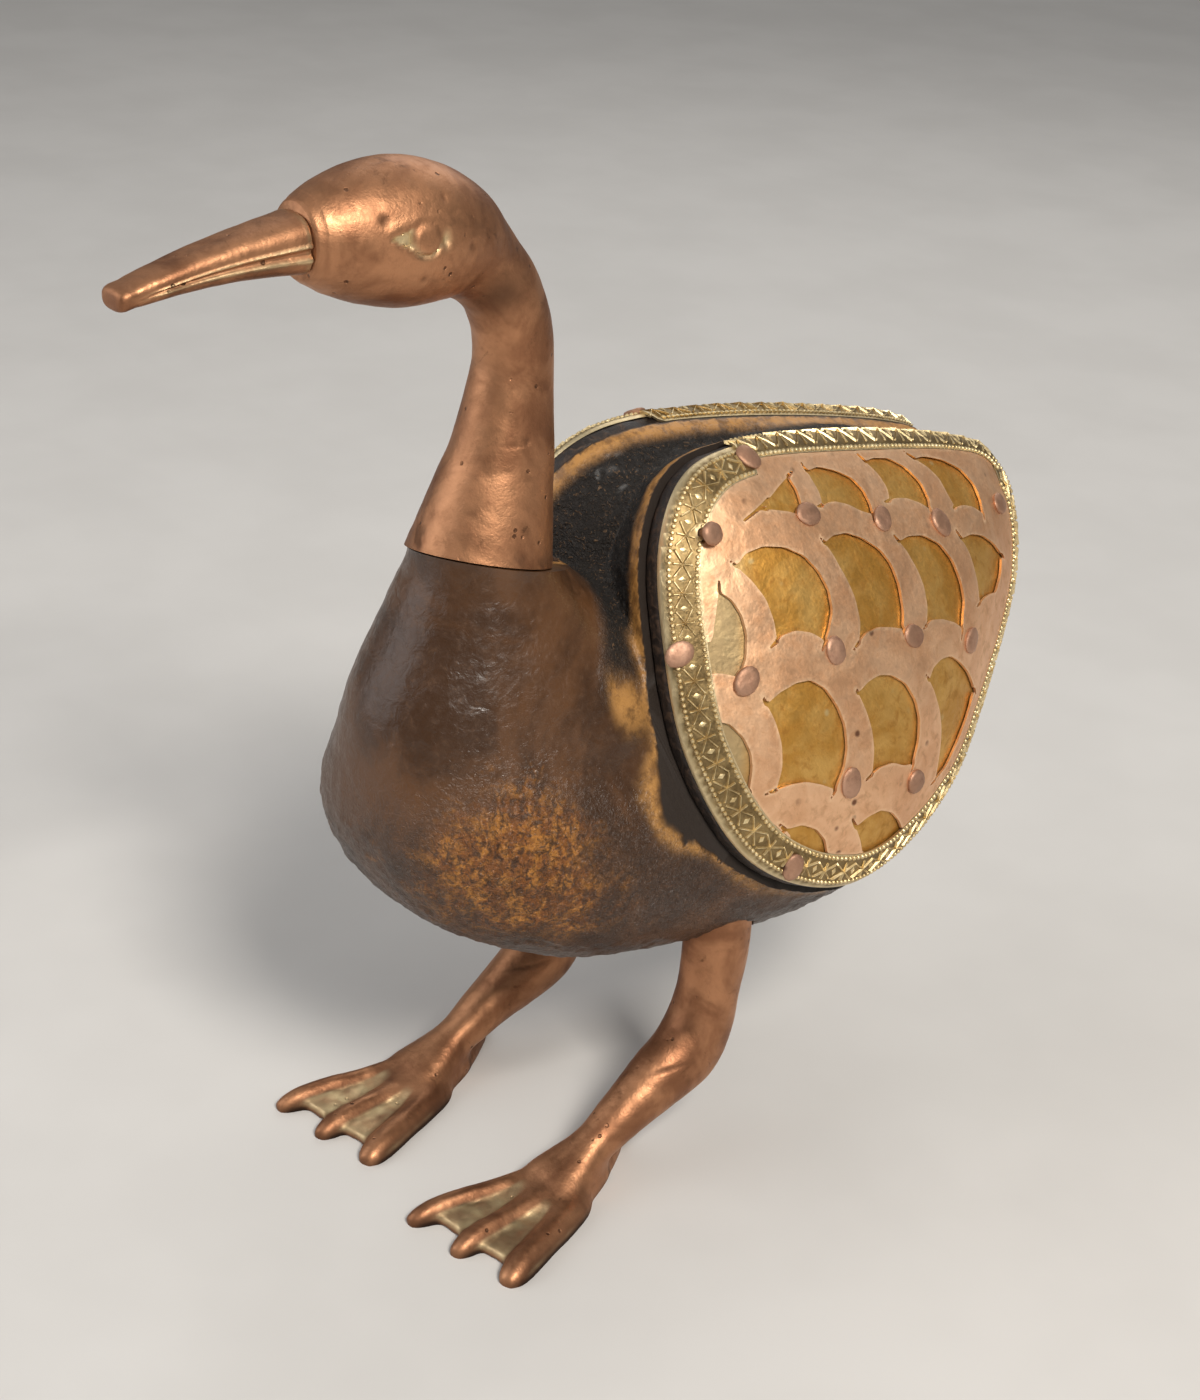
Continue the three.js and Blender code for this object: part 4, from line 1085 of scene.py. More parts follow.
@dataclass
class CarvedBody:
    """The wooden body: an egg with a neck stub, raised flanks and a flat seat and a compartment on each side."""

    breast_y: float = -64.8
    tail_y: float = 96.0
    breast_z: float = 86.0
    tail_z: float = 103.0
    keel_z: float = 37.6
    back_z: float = 134.5
    half_width: float = 43.0
    widest_share: float = 0.36
    belly_power: float = 2.25
    shoulder_power: float = 1.6
    shoulder_round: float = 1.5
    seam_y: float = -36.6
    seam_z: float = 126.4
    seam_radius: float = 13.2
    seam_tilt: float = 17.0
    seam_roll: float = 9.0
    gap: float = 0.3
    leg_xs: Pair = (24.5, -20.0)
    thigh_y: float = 4.6
    thigh_radius: float = 6.6
    thigh_end_z: float = 55.6
    pocket: tuple[float, float, float, float] = (-36.0, 39.0, -34.0, 18.0)
    pocket_corner: float = 16.0
    pocket_land: float = 6.0
    pocket_floor: float = 2.5
    pocket_reach: Pair = (5.0, -55.0)
    slab: Pair = (120.0, 90.0)
    neck_cut: Pair = (1.42, 60.0)
    leg_cut_z: float = 5.0
    voxel: float = 0.85
    back_rail: tuple[Pair, ...] = (
        (0, 0), (0.006, 0.14), (0.028, 0.26), (0.074, 0.375), (0.148, 0.43), (0.235, 0.46), (0.296, 0.56),
        (0.355, 0.69), (0.426, 0.9), (0.488, 0.985), (0.562, 1), (0.642, 0.99), (0.765, 0.873), (0.889, 0.626),
        (0.963, 0.33), (1, 0))
    keel_rail: tuple[Pair, ...] = (
        (0, 0), (0.006, 0.167), (0.028, 0.358), (0.068, 0.528), (0.13, 0.686), (0.235, 0.859), (0.377, 0.974),
        (0.52, 1), (0.667, 0.9), (0.79, 0.71), (0.9, 0.444), (0.97, 0.22), (1, 0))
    flank_shares: tuple[Pair, ...] = (
        (0, 0), (0.012, 0.284), (0.031, 0.417), (0.062, 0.547), (0.099, 0.645), (0.142, 0.715), (0.204, 0.77),
        (0.284, 0.795), (0.333, 0.8), (0.389, 0.83), (0.444, 0.88), (0.5, 0.93), (0.56, 0.985), (0.62, 1),
        (0.69, 0.96), (0.78, 0.82), (0.87, 0.6), (0.95, 0.33), (1, 0))
    stub_flare: tuple[tuple[float, float, float, float], ...] = (
        (-9, 0, 1, 1), (0, 0.3, 1.03, 1.03), (6, 1.6, 1.2, 1.32), (13, 4.2, 1.46, 1.8), (22, 8.4, 1.76, 2.54),
        (32, 13, 1.97, 3.05), (40, 15, 2.0, 3.13), (52, 17, 1.85, 2.75))
    flank_rings: tuple[Pair, ...] = ((2, -1.3), (-1.5, -1.3), (-4, -0.2), (-14, 3), (-24, 12))
    gold_centre: Triple = (25.0, -46.0, 80.0)
    gold_spread: Triple = (19.0, 17.0, 17.0)
    gold_far_side: float = 0.7
    dents: tuple[tuple[float, float, float, float, float], ...] = (
        (16.0, -39.0, 103.0, 3.4, 0.5), (24.0, -24.0, 104.0, 4.5, 0.6), (22.0, -28.0, 110.0, 3.0, 0.4),
        (5.0, -55.0, 104.0, 3.2, 0.35), (29.0, -22.0, 88.0, 5.0, 0.5), (13.0, -52.0, 92.0, 2.6, 0.4))
    lip_drop: float = 0.55
    smooth_rounds: int = 6
    shoulder_rounds: int = 320
    sharp_degrees: float = 42.0

    def rail_point(self, rail: Sequence[Pair], end_z: float, t: float) -> Pair:
        """(y, z) of the back or the keel at a position along the body."""
        x, share = spline_point(np.array(rail, dtype=float), t)
        x = min(1.0, max(0.0, float(x)))
        level = self.breast_z + (self.tail_z - self.breast_z) * x
        return self.breast_y + (self.tail_y - self.breast_y) * x, level + (end_z - level) * float(share)

    def egg(self, stations: int = 90, sides: int = 96) -> np.ndarray:
        """Rings of the egg from breast to tail."""
        length = self.tail_y - self.breast_y
        rings = []
        for k in range(1, stations):
            t = (1 - math.cos(k / stations * math.pi)) / 2
            back = self.rail_point(self.back_rail, self.back_z, t)
            keel = self.rail_point(self.keel_rail, self.keel_z, t)
            ring = []
            for i in range(sides):
                angle = (i + 0.5) / sides * 2 * math.pi
                rise = math.sin(angle)
                below = (1 - abs(rise) ** self.belly_power) ** (1 / self.belly_power)
                above = (1 - abs(rise) ** self.shoulder_power) ** (1 / self.shoulder_round)
                s = self.widest_share + (1 - self.widest_share if rise > 0 else self.widest_share) * rise
                y, z = (k0 + (b0 - k0) * s for k0, b0 in zip(keel, back))
                width = self.half_width * along(self.flank_shares, (y - self.breast_y) / length)
                ring.append((math.copysign(above if rise > 0 else below, math.cos(angle)) * width, y, z))
            rings.append(ring)
        return np.array(rings)

    def stub(self, steps: int = 60, sides: int = 96) -> np.ndarray:
        """Rings of the neck stub, which flares down into the breast."""
        rows = np.array(self.stub_flare, dtype=float)
        curves = [list(zip(rows[:, 0], rows[:, column])) for column in (1, 2, 3)]
        rings = []
        for drop in np.linspace(rows[0, 0], rows[-1, 0], steps):
            back, a, b = (along(curve, drop) for curve in curves)
            oval = level_oval(round_angles(sides), self.seam_radius * a, self.seam_radius * b, self.seam_z - drop)
            rings.append(oval + np.array([0.0, self.seam_y + back, 0.0]))
        return np.array(rings)

    def flank(self, plan: WingPlan, sides: int = 120) -> np.ndarray:
        """Rings of the raised flank behind a wing."""
        return np.array([plan.level_ring(round_angles(sides), inset, w) for w, inset in self.flank_rings])

    def seam_axis(self) -> np.ndarray:
        """Direction square to the seam, upwards."""
        axis = np.array([-math.tan(math.radians(self.seam_roll)), math.tan(math.radians(self.seam_tilt)), 1.0])
        return axis / np.linalg.norm(axis)

    def relief(self, points: np.ndarray, plans: Sequence[WingPlan]) -> tuple[np.ndarray, dict[str, np.ndarray]]:
        """Heights of the carved skin and what its material reads.

        Args:
            points: Points of the fused skin.
            plans: Both wings.

        Returns:
            Height at each point, and the marks by name.
        """
        x, y, z = points.T
        centre = np.array(self.gold_centre)
        gold = sum(share * np.exp(-(((points - centre * (sign, 1.0, 1.0)) / self.gold_spread) ** 2).sum(1))
                   for sign, share in ((1.0, 1.0), (-1.0, self.gold_far_side)))
        low = smooth_step(94.0, 66.0, z + 0.10 * (y + 40))
        worn = np.clip(gold * 1.15 + 0.3 * low, 0, 1)
        pitted = np.clip(low * 0.85 + gold * 0.5, 0, 1)
        rim = np.zeros(len(points))
        for plan in plans:
            u, v, w = plan.seat_place(points).T
            edge = plan.inset(u, v)
            rim = np.maximum(rim, np.exp(-((edge + 1.0) / 1.6) ** 2) * smooth_step(-4.5, -1.5, w))
            low_front = smooth_step(24.0, 8.0, v) * smooth_step(14.0, -6.0, u)
            along_edge = np.exp(-((w + 0.25) / 0.4) ** 2) * smooth_step(-12.0, -9.0, edge)
            rim = np.maximum(rim, low_front * along_edge)
        behind_neck = y + 0.16 * np.abs(x) ** 1.15 - (z - 118) * 0.35
        tooled = smooth_step(-19.0, -13.0, behind_neck) * smooth_step(100, 112, z) * (1 - rim)
        coarse = wave(points, 3.4, 2, 2.0)
        medium = wave(points, 1.9, 2, 5.0)
        height = (0.10 * coarse + 0.05 * medium + pitted * (0.22 * medium + 0.12 * coarse)
                  + tooled * (0.3 * medium) + 0.35 * wave(points, 17.0, 1, 9.0))
        dents = np.zeros(len(points))
        for cx, cy, cz, r, d in self.dents:
            dents -= d * np.exp(-((x - cx) ** 2 + (y - cy) ** 2 + (z - cz) ** 2) / (r * r))
        below = (np.array([0.0, self.seam_y, self.seam_z]) - points) @ self.seam_axis()
        lip = np.exp(-(np.maximum(below, 0) / 3.0) ** 2) * smooth_step(-38.0, -47.0, y)
        height = height * (1 - lip) - self.lip_drop * lip
        return height + dents, {"worn": worn, "pitted": pitted, "tooled": tooled, "rim": rim}

    def pocket_loop(self, plan: WingPlan) -> np.ndarray:
        """Outline of the compartment in the (u, v) plane: a rounded rectangle kept inside the lid."""
        u0, u1, v0, v1 = self.pocket
        c = self.pocket_corner
        loop = []
        for cu, cv, start in ((u1 - c, v0 + c, -90), (u1 - c, v1 - c, 0), (u0 + c, v1 - c, 90), (u0 + c, v0 + c, 180)):
            for turn in np.radians(np.linspace(start, start + 90, 13)):
                loop.append((cu + c * math.cos(turn), cv + c * math.sin(turn)))
        flat = np.array(loop)
        excess = np.maximum(self.pocket_land - plan.inset(*flat.T), 0)
        inward = np.array(plan.hub) - flat
        return flat + inward / np.linalg.norm(inward, axis=1)[:, None] * excess[:, None]

    def pocket_cutter(self, plan: WingPlan) -> Piece:
        """Closed form of the compartment behind a wing, with a level floor."""
        flat = self.pocket_loop(plan)
        rings = [plan.place(np.column_stack([flat, np.full(len(flat), w)])) for w in self.pocket_reach]
        cutter = loft_piece("pocket_cutter", np.array(rings))
        slice_off(cutter, (self.pocket_floor * plan.side.value, 0, 0), (-plan.side.value, 0, 0))
        face_out(cutter)
        return cutter

    def seat_cutter(self, plan: WingPlan) -> Piece:
        """Slab outside a wing's seat plane."""
        half, thickness = self.slab
        corners = [(-half, -half), (half, -half), (half, half), (-half, half)]
        rings = [plan.place(np.array([(*c, w) for c in corners])) for w in (0.0, thickness)]
        return loft_piece("seat_cutter", np.array(rings))

    def build(self, plans: Sequence[WingPlan], finishes: Finishes) -> Piece:
        """Makes and dresses the body."""
        shells = [loft_piece("egg", self.egg()), loft_piece("stub", self.stub())]
        shells += [loft_piece("flank", self.flank(plan)) for plan in plans]
        body = joined("carved_body", shells)
        fuse(body, self.voxel, self.smooth_rounds)
        x, y, z = points_of(body).T
        before_wings = smooth_step(-16.0, -30.0, y + 0.2 * np.abs(x))
        soften(body, before_wings * smooth_step(58.0, 76.0, z) * smooth_step(123.0, 112.0, z), self.shoulder_rounds)
        heights, marks = self.relief(points_of(body), plans)
        raise_skin(body, heights)
        for name, values in marks.items():
            mark(body, name, values)
        axis = self.seam_axis()
        under = np.array([0.0, self.seam_y, self.seam_z]) - axis * self.gap / 2
        cap = disc_rings(under, axis, self.seam_radius * self.neck_cut[0], self.neck_cut[1])
        cutters = [loft_piece("neck_cutter", cap)]
        cutters += [self.seat_cutter(plan) for plan in plans]
        cutters += [self.pocket_cutter(plan) for plan in plans]
        for x in self.leg_xs:
            foot = np.array([x, self.thigh_y, self.leg_cut_z])
            hole = disc_rings(foot, np.array([0, 0, 1.0]), self.thigh_radius + self.gap,
                              self.thigh_end_z + self.gap - self.leg_cut_z)
            cutters.append(loft_piece("leg_cutter", hole))
        cut_away(body, cutters)
        points = points_of(body)
        inside = np.zeros(len(points))
        for plan in plans:
            u, v, w = plan.seat_place(points).T
            inside = np.maximum(inside, smooth_step(-0.25, 0.0, w))
            hollow = Openwork.loop_field(u, v, self.pocket_loop(plan)) < 0.1
            inside = np.maximum(inside, hollow & (points[:, 0] * plan.side.value > self.pocket_floor - 0.1))
        mark(body, "inside", inside)
        crease(body, self.sharp_degrees)
        finish_piece(body, finishes.wood, "duck", ("body",))
        return body


def disc_rings(foot: np.ndarray, axis: np.ndarray, radius: float, length: float, sides: int = 96) -> np.ndarray:
    """Two rings of a round bar from a foot along an axis."""
    other = np.array([1.0, 0, 0]) if abs(axis[0]) < 0.9 else np.array([0, 1.0, 0])
    a = np.cross(axis, other)
    a /= np.linalg.norm(a)
    b = np.cross(axis, a)
    angles = round_angles(sides)
    ring = foot + radius * (np.outer(np.cos(angles), a) + np.outer(np.sin(angles), b))
    return np.array([ring, ring + axis * length])


@dataclass
class HeadCasting:
    """Neck and head in one casting, with an almond eye on each side."""

    head_top: float = 200.0
    head_front: float = -74.0
    width_share: float = 0.97
    eye: Triple = (11.4, -56.8, 189.6)
    eye_slope: float = 0.12
    pits: tuple[tuple[float, float, float, float], ...] = (
        (-63.6, 193.2, 0.75, 0.45), (-52.0, 195.0, 0.5, 0.3), (-47.5, 187.0, 0.6, 0.3), (-57.0, 183.0, 0.5, 0.25),
        (-33.0, 150.0, 0.6, 0.25))
    steps: int = 330
    sides: int = 150
    sharp_degrees: float = 45.0

    def stations(self, seam_z: float) -> list[Triple]:
        """(y, z, radius) along the neck and head."""
        c = self.head_top - 12.1
        return [(-38.9, seam_z - 9, 15.3), (-36.2, seam_z + 2, 13.0), (-35.1, seam_z + 6.6, 12.0),
                (-33.8, seam_z + 12, 10.8), (-32.5, seam_z + 17, 9.7), (-31.5, seam_z + 23.5, 8.6),
                (-30.7, seam_z + 29.6, 7.7), (-30.2, seam_z + 35, 7.1), (-30.4, seam_z + 39.4, 7.0),
                (-31.1, c - 18.6, 6.9), (-33.6, c - 12.8, 6.9), (-36.6, c - 9.2, 7.2), (-40.1, c - 6, 8.3),
                (-43.4, c - 3.7, 9.8), (-48.9, c - 1.4, 11.4), (-55.6, c, 12.1), (-63, c + 0.9, 11.0),
                (-69.2, c + 1.4, 9.0), (-72.4, c + 1.6, 7.35), (-73.7, c + 1.68, 6.45),
                (self.head_front - 0.4, c + 1.7, 5.6)]

    def relief(self, points: np.ndarray) -> tuple[np.ndarray, np.ndarray, np.ndarray]:
        """Heights of eyes, dents and casting marks, and where brass, sooty dirt and painted shade show.

        Args:
            points: Points of the smooth casting.

        Returns:
            Heights, the share of brass and the share of sooty dirt and painted shade.
        """
        x, y, z = points.T
        _, ey, ez = self.eye
        forward = -(y - ey) * math.cos(self.eye_slope) + (z - ez) * math.sin(self.eye_slope)
        rise = (z - ez) * math.cos(self.eye_slope) + (y - ey) * math.sin(self.eye_slope)
        side = smooth_step(5.0, 8.0, np.abs(x))
        r = np.hypot(forward, rise)
        pupil = smooth_step(2.7, 1.9, r)
        ring = np.exp(-((r - 2.65) / 0.42) ** 2) * (0.35 + 0.65 * smooth_step(-0.3, -1.4, rise))
        front = smooth_step(0.25, -0.25, np.abs(rise) - (6.6 - forward) * 0.42) * smooth_step(2.3, 2.9, forward)
        front *= smooth_step(6.9, 6.3, forward) * smooth_step(2.2, 2.7, r)
        rear = np.exp(-(((forward + 3.7) / 0.8) ** 2 + ((rise + 0.1) / 1.25) ** 2))
        lid = np.exp(-((np.abs(rise) - (3.3 - forward ** 2 * 0.055)) / 0.5) ** 2)
        lid *= smooth_step(7.5, 5.0, np.abs(forward))
        height = side * (0.2 * pupil - 0.5 * ring - 0.7 * front - 0.8 * rear + 0.1 * lid)
        brass = side * np.clip(0.95 * front + 0.8 * rear + 0.55 * ring * smooth_step(0.5, -1.0, rise), 0, 1)
        soot = np.zeros(len(points))
        for pit_y, pit_z, radius, depth in self.pits:
            hole = np.exp(-((y - pit_y) ** 2 + (z - pit_z) ** 2) / (radius * radius)) * smooth_step(2.0, 5.0, x)
            height -= depth * hole
            soot = np.maximum(soot, 0.5 * hole)
        line = np.exp(-((z - 151.0 - 0.05 * y) / 0.28) ** 2 - ((y + 34.5) / 2.6) ** 2) * smooth_step(3.0, 6.0, x)
        height -= 0.16 * line
        # Painted shade: the front of the neck under the head is darkened.
        throat = np.exp(-(((y + 37.5) / 5.0) ** 2 + ((z - 176.0) / 4.5) ** 2))
        soot = np.maximum(soot, 0.65 * throat)
        foot = smooth_step(132.5, 129.0, z + 0.3 * (y + 36))
        soot = np.maximum(soot, 0.55 * foot * smooth_step(0.1, 0.45, wave(points, 4.0, 2, 4.0)))
        height += 0.10 * wave(points, 9.0, 1, 1.0) + 0.035 * wave(points, 2.2, 1, 7.0)
        return height, brass, soot

    def build(self, body: CarvedBody, finishes: Finishes) -> Piece:
        """Makes and dresses the casting."""
        rows = [(0, y, z, r * self.width_share, r) for y, z, r in self.stations(body.seam_z)]
        casting = loft_piece("head_casting", tube_rings(rows, self.steps, self.sides))
        heights, brass, soot = self.relief(points_of(casting))
        raise_skin(casting, heights)
        mark(casting, "brass", brass)
        mark(casting, "soot", soot)
        axis = body.seam_axis()
        slice_off(casting, np.array([0, body.seam_y, body.seam_z]) + axis * body.gap / 2, -axis)
        slice_off(casting, (0, self.head_front, 0), (0, -1, 0))
        face_out(casting)
        crease(casting, self.sharp_degrees)
        finish_piece(casting, finishes.copper, "duck", ("head_and_neck",))
        return casting


@dataclass
class BeakCasting:
    """The beak: two brassy ridges along each side with the line of the mouth between them, and a squared tip."""

    root_y: float = -74.3
    root_z: float = 189.3
    tip_y: float = -106.6
    tip_z: float = 185.6
    root_half: Pair = (5.7, 5.2)
    tip_half: Pair = (3.3, 1.8)
    ridge: float = 0.42
    groove: float = 0.6
    steps: int = 110
    sides: int = 120
    sharp_degrees: float = 55.0

    def build(self, finishes: Finishes) -> Piece:
        """Makes and dresses the beak."""
        angles = round_angles(self.sides)
        rise = np.sin(angles)
        boxy = 1 - 0.05 * np.cos(4 * angles)
        rings, brass = [], []
        ends = [(0.0, 0.97), (0.012, 1.0)] + [(s, 1.0) for s in np.linspace(0.03, 0.965, self.steps)]
        ends += [(0.982, 0.96), (0.993, 0.88), (1.0, 0.72), (1.0, 0.4)]
        for share, square in ends:
            half_z = self.root_half[1] + (self.tip_half[1] - self.root_half[1]) * share ** 0.8
            half_x = self.root_half[0] + (self.tip_half[0] - self.root_half[0]) * share ** 0.9
            fade = 1 - smooth_step(0.72, 0.93, np.array([share]))[0]
            upper = self.ridge * np.exp(-((rise - 0.12 + 0.1 * share) / 0.075) ** 2) * fade
            lower = self.ridge * np.exp(-((rise + 0.34 - 0.1 * share) / 0.085) ** 2) * fade
            groove = self.groove * np.exp(-((rise + 0.1) / 0.12) ** 2) * fade
            knob = 0.1 * math.exp(-((share - 0.97) / 0.03) ** 2) - 0.08 * math.exp(-((share - 0.91) / 0.02) ** 2)
            swell = 1 + upper * 0.16 + lower * 0.16 - groove * 0.13
            x = half_x * np.cos(angles) * swell * boxy * square * (1 + knob * 0.25)
            z = half_z * rise * square * boxy * (1 + knob * 0.35)
            arch = 0.9 * math.sin(share * math.pi)
            rings.append(np.stack([x, np.full(self.sides, self.root_y + (self.tip_y - self.root_y) * share),
                                   self.root_z + (self.tip_z - self.root_z) * share + arch + z], 1))
            root = math.exp(-(share / 0.02) ** 2)
            brass.append(np.clip(1.5 * (upper + lower) + 0.45 * root, 0, 0.8))
        beak = loft_piece("beak_casting", np.array(rings))
        marks = np.concatenate([np.array(brass).ravel(), [0.0, 0.0]])
        raise_skin(beak, 0.05 * wave(points_of(beak), 3.0, 1, 3.0))
        mark(beak, "brass", marks * (0.6 + 0.5 * (wave(points_of(beak), 2.5, 2, 5.0) > -0.2)))
        mark(beak, "soot", np.zeros(len(marks)))
        crease(beak, self.sharp_degrees)
        finish_piece(beak, finishes.copper, "duck", ("beak",))
        return beak


@dataclass
class LegCasting:
    """A leg: thigh, hock, shin and a foot of three toes with recessed brassy webs."""

    side: Side
    foot_x: float
    body: CarvedBody
    hock: Triple = (-1.0, 21.5, 7.0)
    ankle: Triple = (-25.0, 7.4, 4.2)
    toe_tips: tuple[Pair, ...] = ((-9.5, -37.6), (2.9, -36.4), (15.3, -33.8))
    toe_half_widths: Triple = (2.3, 2.4, 2.9)
    toe_height: float = 4.6
    web_thickness: float = 2.4
    toe_profile: tuple[Triple, ...] = (
        (0.08, 0.3, 0.3), (0.16, 0.7, 0.7), (0.26, 0.95, 0.92), (0.4, 1.0, 1.0), (0.65, 1.0, 0.95),
        (0.84, 1.06, 0.86), (0.94, 0.92, 0.62), (1, 0.5, 0.3))
    toe_root: float = 0.28
    heel: Pair = (-7.5, 11.5)
    voxel: float = 0.5
    smooth_rounds: int = 12
    instep_rounds: int = 110
    sharp_degrees: float = 60.0

    def shells(self) -> list[Piece]:
        """Shank, toes, heel, instep and web as closed shells that overlap."""
        hy, hz, hr = self.hock
        ay, az, ar = self.ankle
        r, ty, top, keel_z = self.body.thigh_radius, self.body.thigh_y, self.body.thigh_end_z, self.body.keel_z
        rows = [(0, ty, top, r, r), (0, ty, keel_z + 5, r, r), (0, ty - 1.2, keel_z - 4, r * 0.94, r * 0.94),
                (0, hy + 2.8, hz + 4.5, hr * 0.92, hr * 0.96), (0, hy - 0.8, hz - 1.6, hr * 0.92, hr * 1.08),
                (0, (hy * 2 + ay) / 3, (hz * 2 + az) / 3 - 0.9, hr * 0.86, hr * 0.92),
                (0, (hy + ay * 2) / 3, (hz + az * 2) / 3 - 0.3, ar * 1.2, ar * 1.18), (0, ay, az, ar * 1.06, ar),
                (0, ay - 6, az - 2.4, ar * 1.45, ar * 0.82), (0, ay - 12, az - 3.8, ar * 1.7, ar * 0.6)]
        shells = [loft_piece("shank", tube_rings(rows, 90, 48))]
        slice_off(shells[0], (0, 0, top - 0.01), (0, 0, 1))
        for (tip_x, tip_y), half_width in zip(self.toe_tips, self.toe_half_widths):
            toe = [(tip_x * (self.toe_root + (1 - self.toe_root) * s - 0.2 * max(0.0, 1 - s / 0.3)),
                    ay - 1 + (tip_y + 1) * s, 0.6, half_width * w, (self.toe_height - 0.6) * h)
                   for s, w, h in self.toe_profile]
            shells.append(loft_piece("toe", tube_rings(toe, 50, 32)))
        hx, back = self.heel
        heel = [(hx, ay + back, 0.4, ar * 0.62, 1.3), (hx * 0.8, ay + back - 2.4, 0.6, ar * 0.82, 2.2),
                (0, ay - 3, 1.6, ar * 1.2, 3.4), (0, ay - 12, 1.6, ar * 1.6, 3.2)]
        shells.append(loft_piece("heel", tube_rings(heel, 30, 32)))
        instep = [(0, ay + 1, 3.0, ar * 0.9, 4.6), (0.3, ay - 3, 1.6, ar * 1.2, 5.6), (1.0, ay - 8, 0.8, 6.4, 5.2),
                  (1.7, ay - 13, 0.4, 8.2, 4.6), (2.3, ay - 17, 0.2, 8.6, 3.4), (2.6, ay - 20.5, 0.2, 6.0, 2.2)]
        shells.append(loft_piece("instep", tube_rings(instep, 40, 48)))
        shells.append(self.web())
        return shells

    def build(self, finishes: Finishes) -> Piece:
        """Makes and dresses the leg."""
        ay = self.ankle[0]
        leg = joined(f"{self.side.word}_leg_casting", self.shells())
        fuse(leg, self.voxel, self.smooth_rounds)
        _, y, z = points_of(leg).T
        foot_top = smooth_step(ay + 5, ay - 1, y) * smooth_step(ay - 26, ay - 18, y) * smooth_step(2.0, 3.2, z)
        soften(leg, foot_top, self.instep_rounds)
        points = points_of(leg)
        x, y, z = points.T
        toes = self.toe_distance(x, y)
        web = smooth_step(-0.4, 0.3, toes) * smooth_step(4.4, 3.2, z)
        web *= smooth_step(-37.5, -41.0, y) * smooth_step(0.8, 1.6, z)
        height = 0.09 * wave(points, 6.0, 1, 2.0 + self.side.value) + 0.04 * wave(points, 2.0, 1, 5.0)
        height += web * 0.35 * wave(points, 2.6, 1, 4.0)
        scar = np.exp(-(((z - 19.5 - 0.3 * x) / 0.4) ** 2 + ((x - 3.6) / 1.6) ** 2)) * smooth_step(0.0, -6.0, y)
        height -= 0.22 * scar
        raise_skin(leg, height)
        mark(leg, "brass", np.clip(web * (0.62 + 0.45 * wave(points, 2.6, 2, 6.0)), 0, 1))
        # Painted shade: the casting darkens within 2 mm of the floor and along the creases where the toes meet the web;
        # the scar is darkened as a casting mark.
        floor_shade = smooth_step(2.0, 0.0, z)
        groove = smooth_step(1.4, 0.0, np.abs(toes)) * smooth_step(4.2, 2.0, z)
        mark(leg, "soot", np.clip(0.5 * floor_shade + 0.6 * groove * (1 - 0.6 * web) + 0.5 * scar, 0, 1))
        set_points(leg, points_of(leg) + np.array([self.foot_x, 0, 0]))
        slice_off(leg, (0, 0, 0), (0, 0, -1))
        face_out(leg)
        crease(leg, self.sharp_degrees)
        finish_piece(leg, finishes.copper, "duck", (f"{self.side.word}_leg",))
        return leg

    def toe_distance(self, x: np.ndarray, y: np.ndarray) -> np.ndarray:
        """Distance outside the nearest toe, seen from above."""
        nearest = np.full(len(x), 99.0)
        ay = self.ankle[0]
        for (tip_x, tip_y), half_width in zip(self.toe_tips, self.toe_half_widths):
            root, tip = np.array([tip_x * self.toe_root, ay - 1]), np.array([tip_x, ay + tip_y])
            nearest = np.minimum(nearest, segment_distance(x, y, root, tip)[0] - half_width)
        return nearest

    def web(self) -> Piece:
        """Plate between the toes, with a scalloped front edge."""
        inner, middle, outer = (np.array(tip) * 0.9 for tip in self.toe_tips)
        loop = [np.array([0.0, 4.0])]
        for a, b in ((inner, middle), (middle, outer)):
            pull = np.array([(a[0] + b[0]) * 0.49, (a[1] + b[1]) * 0.475])
            for t in np.linspace(0, 1, 12):
                loop.append((1 - t) ** 2 * a + 2 * t * (1 - t) * pull + t * t * b)
        flat = np.array(loop)
        flat[:, 1] += self.ankle[0]
        rings = [np.column_stack([flat, np.full(len(flat), z)]) for z in (0.0, self.web_thickness)]
        return loft_piece("web", np.array(rings))


def bare_piece(name: str, points: np.ndarray, faces: Sequence[tuple[int, ...]]) -> Piece:
    """A small piece in millimetres round its own origin, with its faces outwards."""
    piece = new_piece(name, points * MM, faces)
    face_out(piece)
    return piece


def oval_stamp(name: str, profile: Sequence[Triple], sides: int) -> Piece:
    """A small closed stamp round its own origin, from (half size along X, half along Y, height) rings."""
    points, faces = loft(np.array([level_oval(round_angles(sides), a, b, h) for a, b, h in profile]))
    return bare_piece(name, points, faces)


def round_stamp(name: str, profile: Sequence[Pair], sides: int) -> Piece:
    """A round stamp from (radius, height) pairs."""
    return oval_stamp(name, [(r, r, h) for r, h in profile], sides)


def ridge(half: np.ndarray, width: float, height: float) -> tuple[np.ndarray, list[tuple[int, ...]]]:
    """A low ridge through the origin, tapered at both ends.

    Args:
        half: Half of the ridge's line, as (x, y).
        width: Its width at the foot.
        height: Its height.

    Returns:
        The points and the faces.
    """
    way = half / np.linalg.norm(half)
    across = np.array([-way[1], way[0]])
    points = []
    for share, wide, tall in ((-1.0, 0.7, -0.25), (1.0, 0.7, -0.25), (-0.9, 0.5, height * 0.75),
                              (0.9, 0.5, height * 0.75)):
        for sign in (-1, 1):
            spot = half * share + across * sign * width * wide * (0.5 if tall < 0 else 0.22)
            points.append((spot[0], spot[1], tall))
    points.append((0.0, 0.0, height))
    faces = [(0, 1, 3, 2), (0, 4, 5, 1), (2, 3, 7, 6), (0, 2, 6, 8, 4), (1, 5, 8, 7, 3), (4, 8, 5), (6, 7, 8)]
    return np.array(points), faces


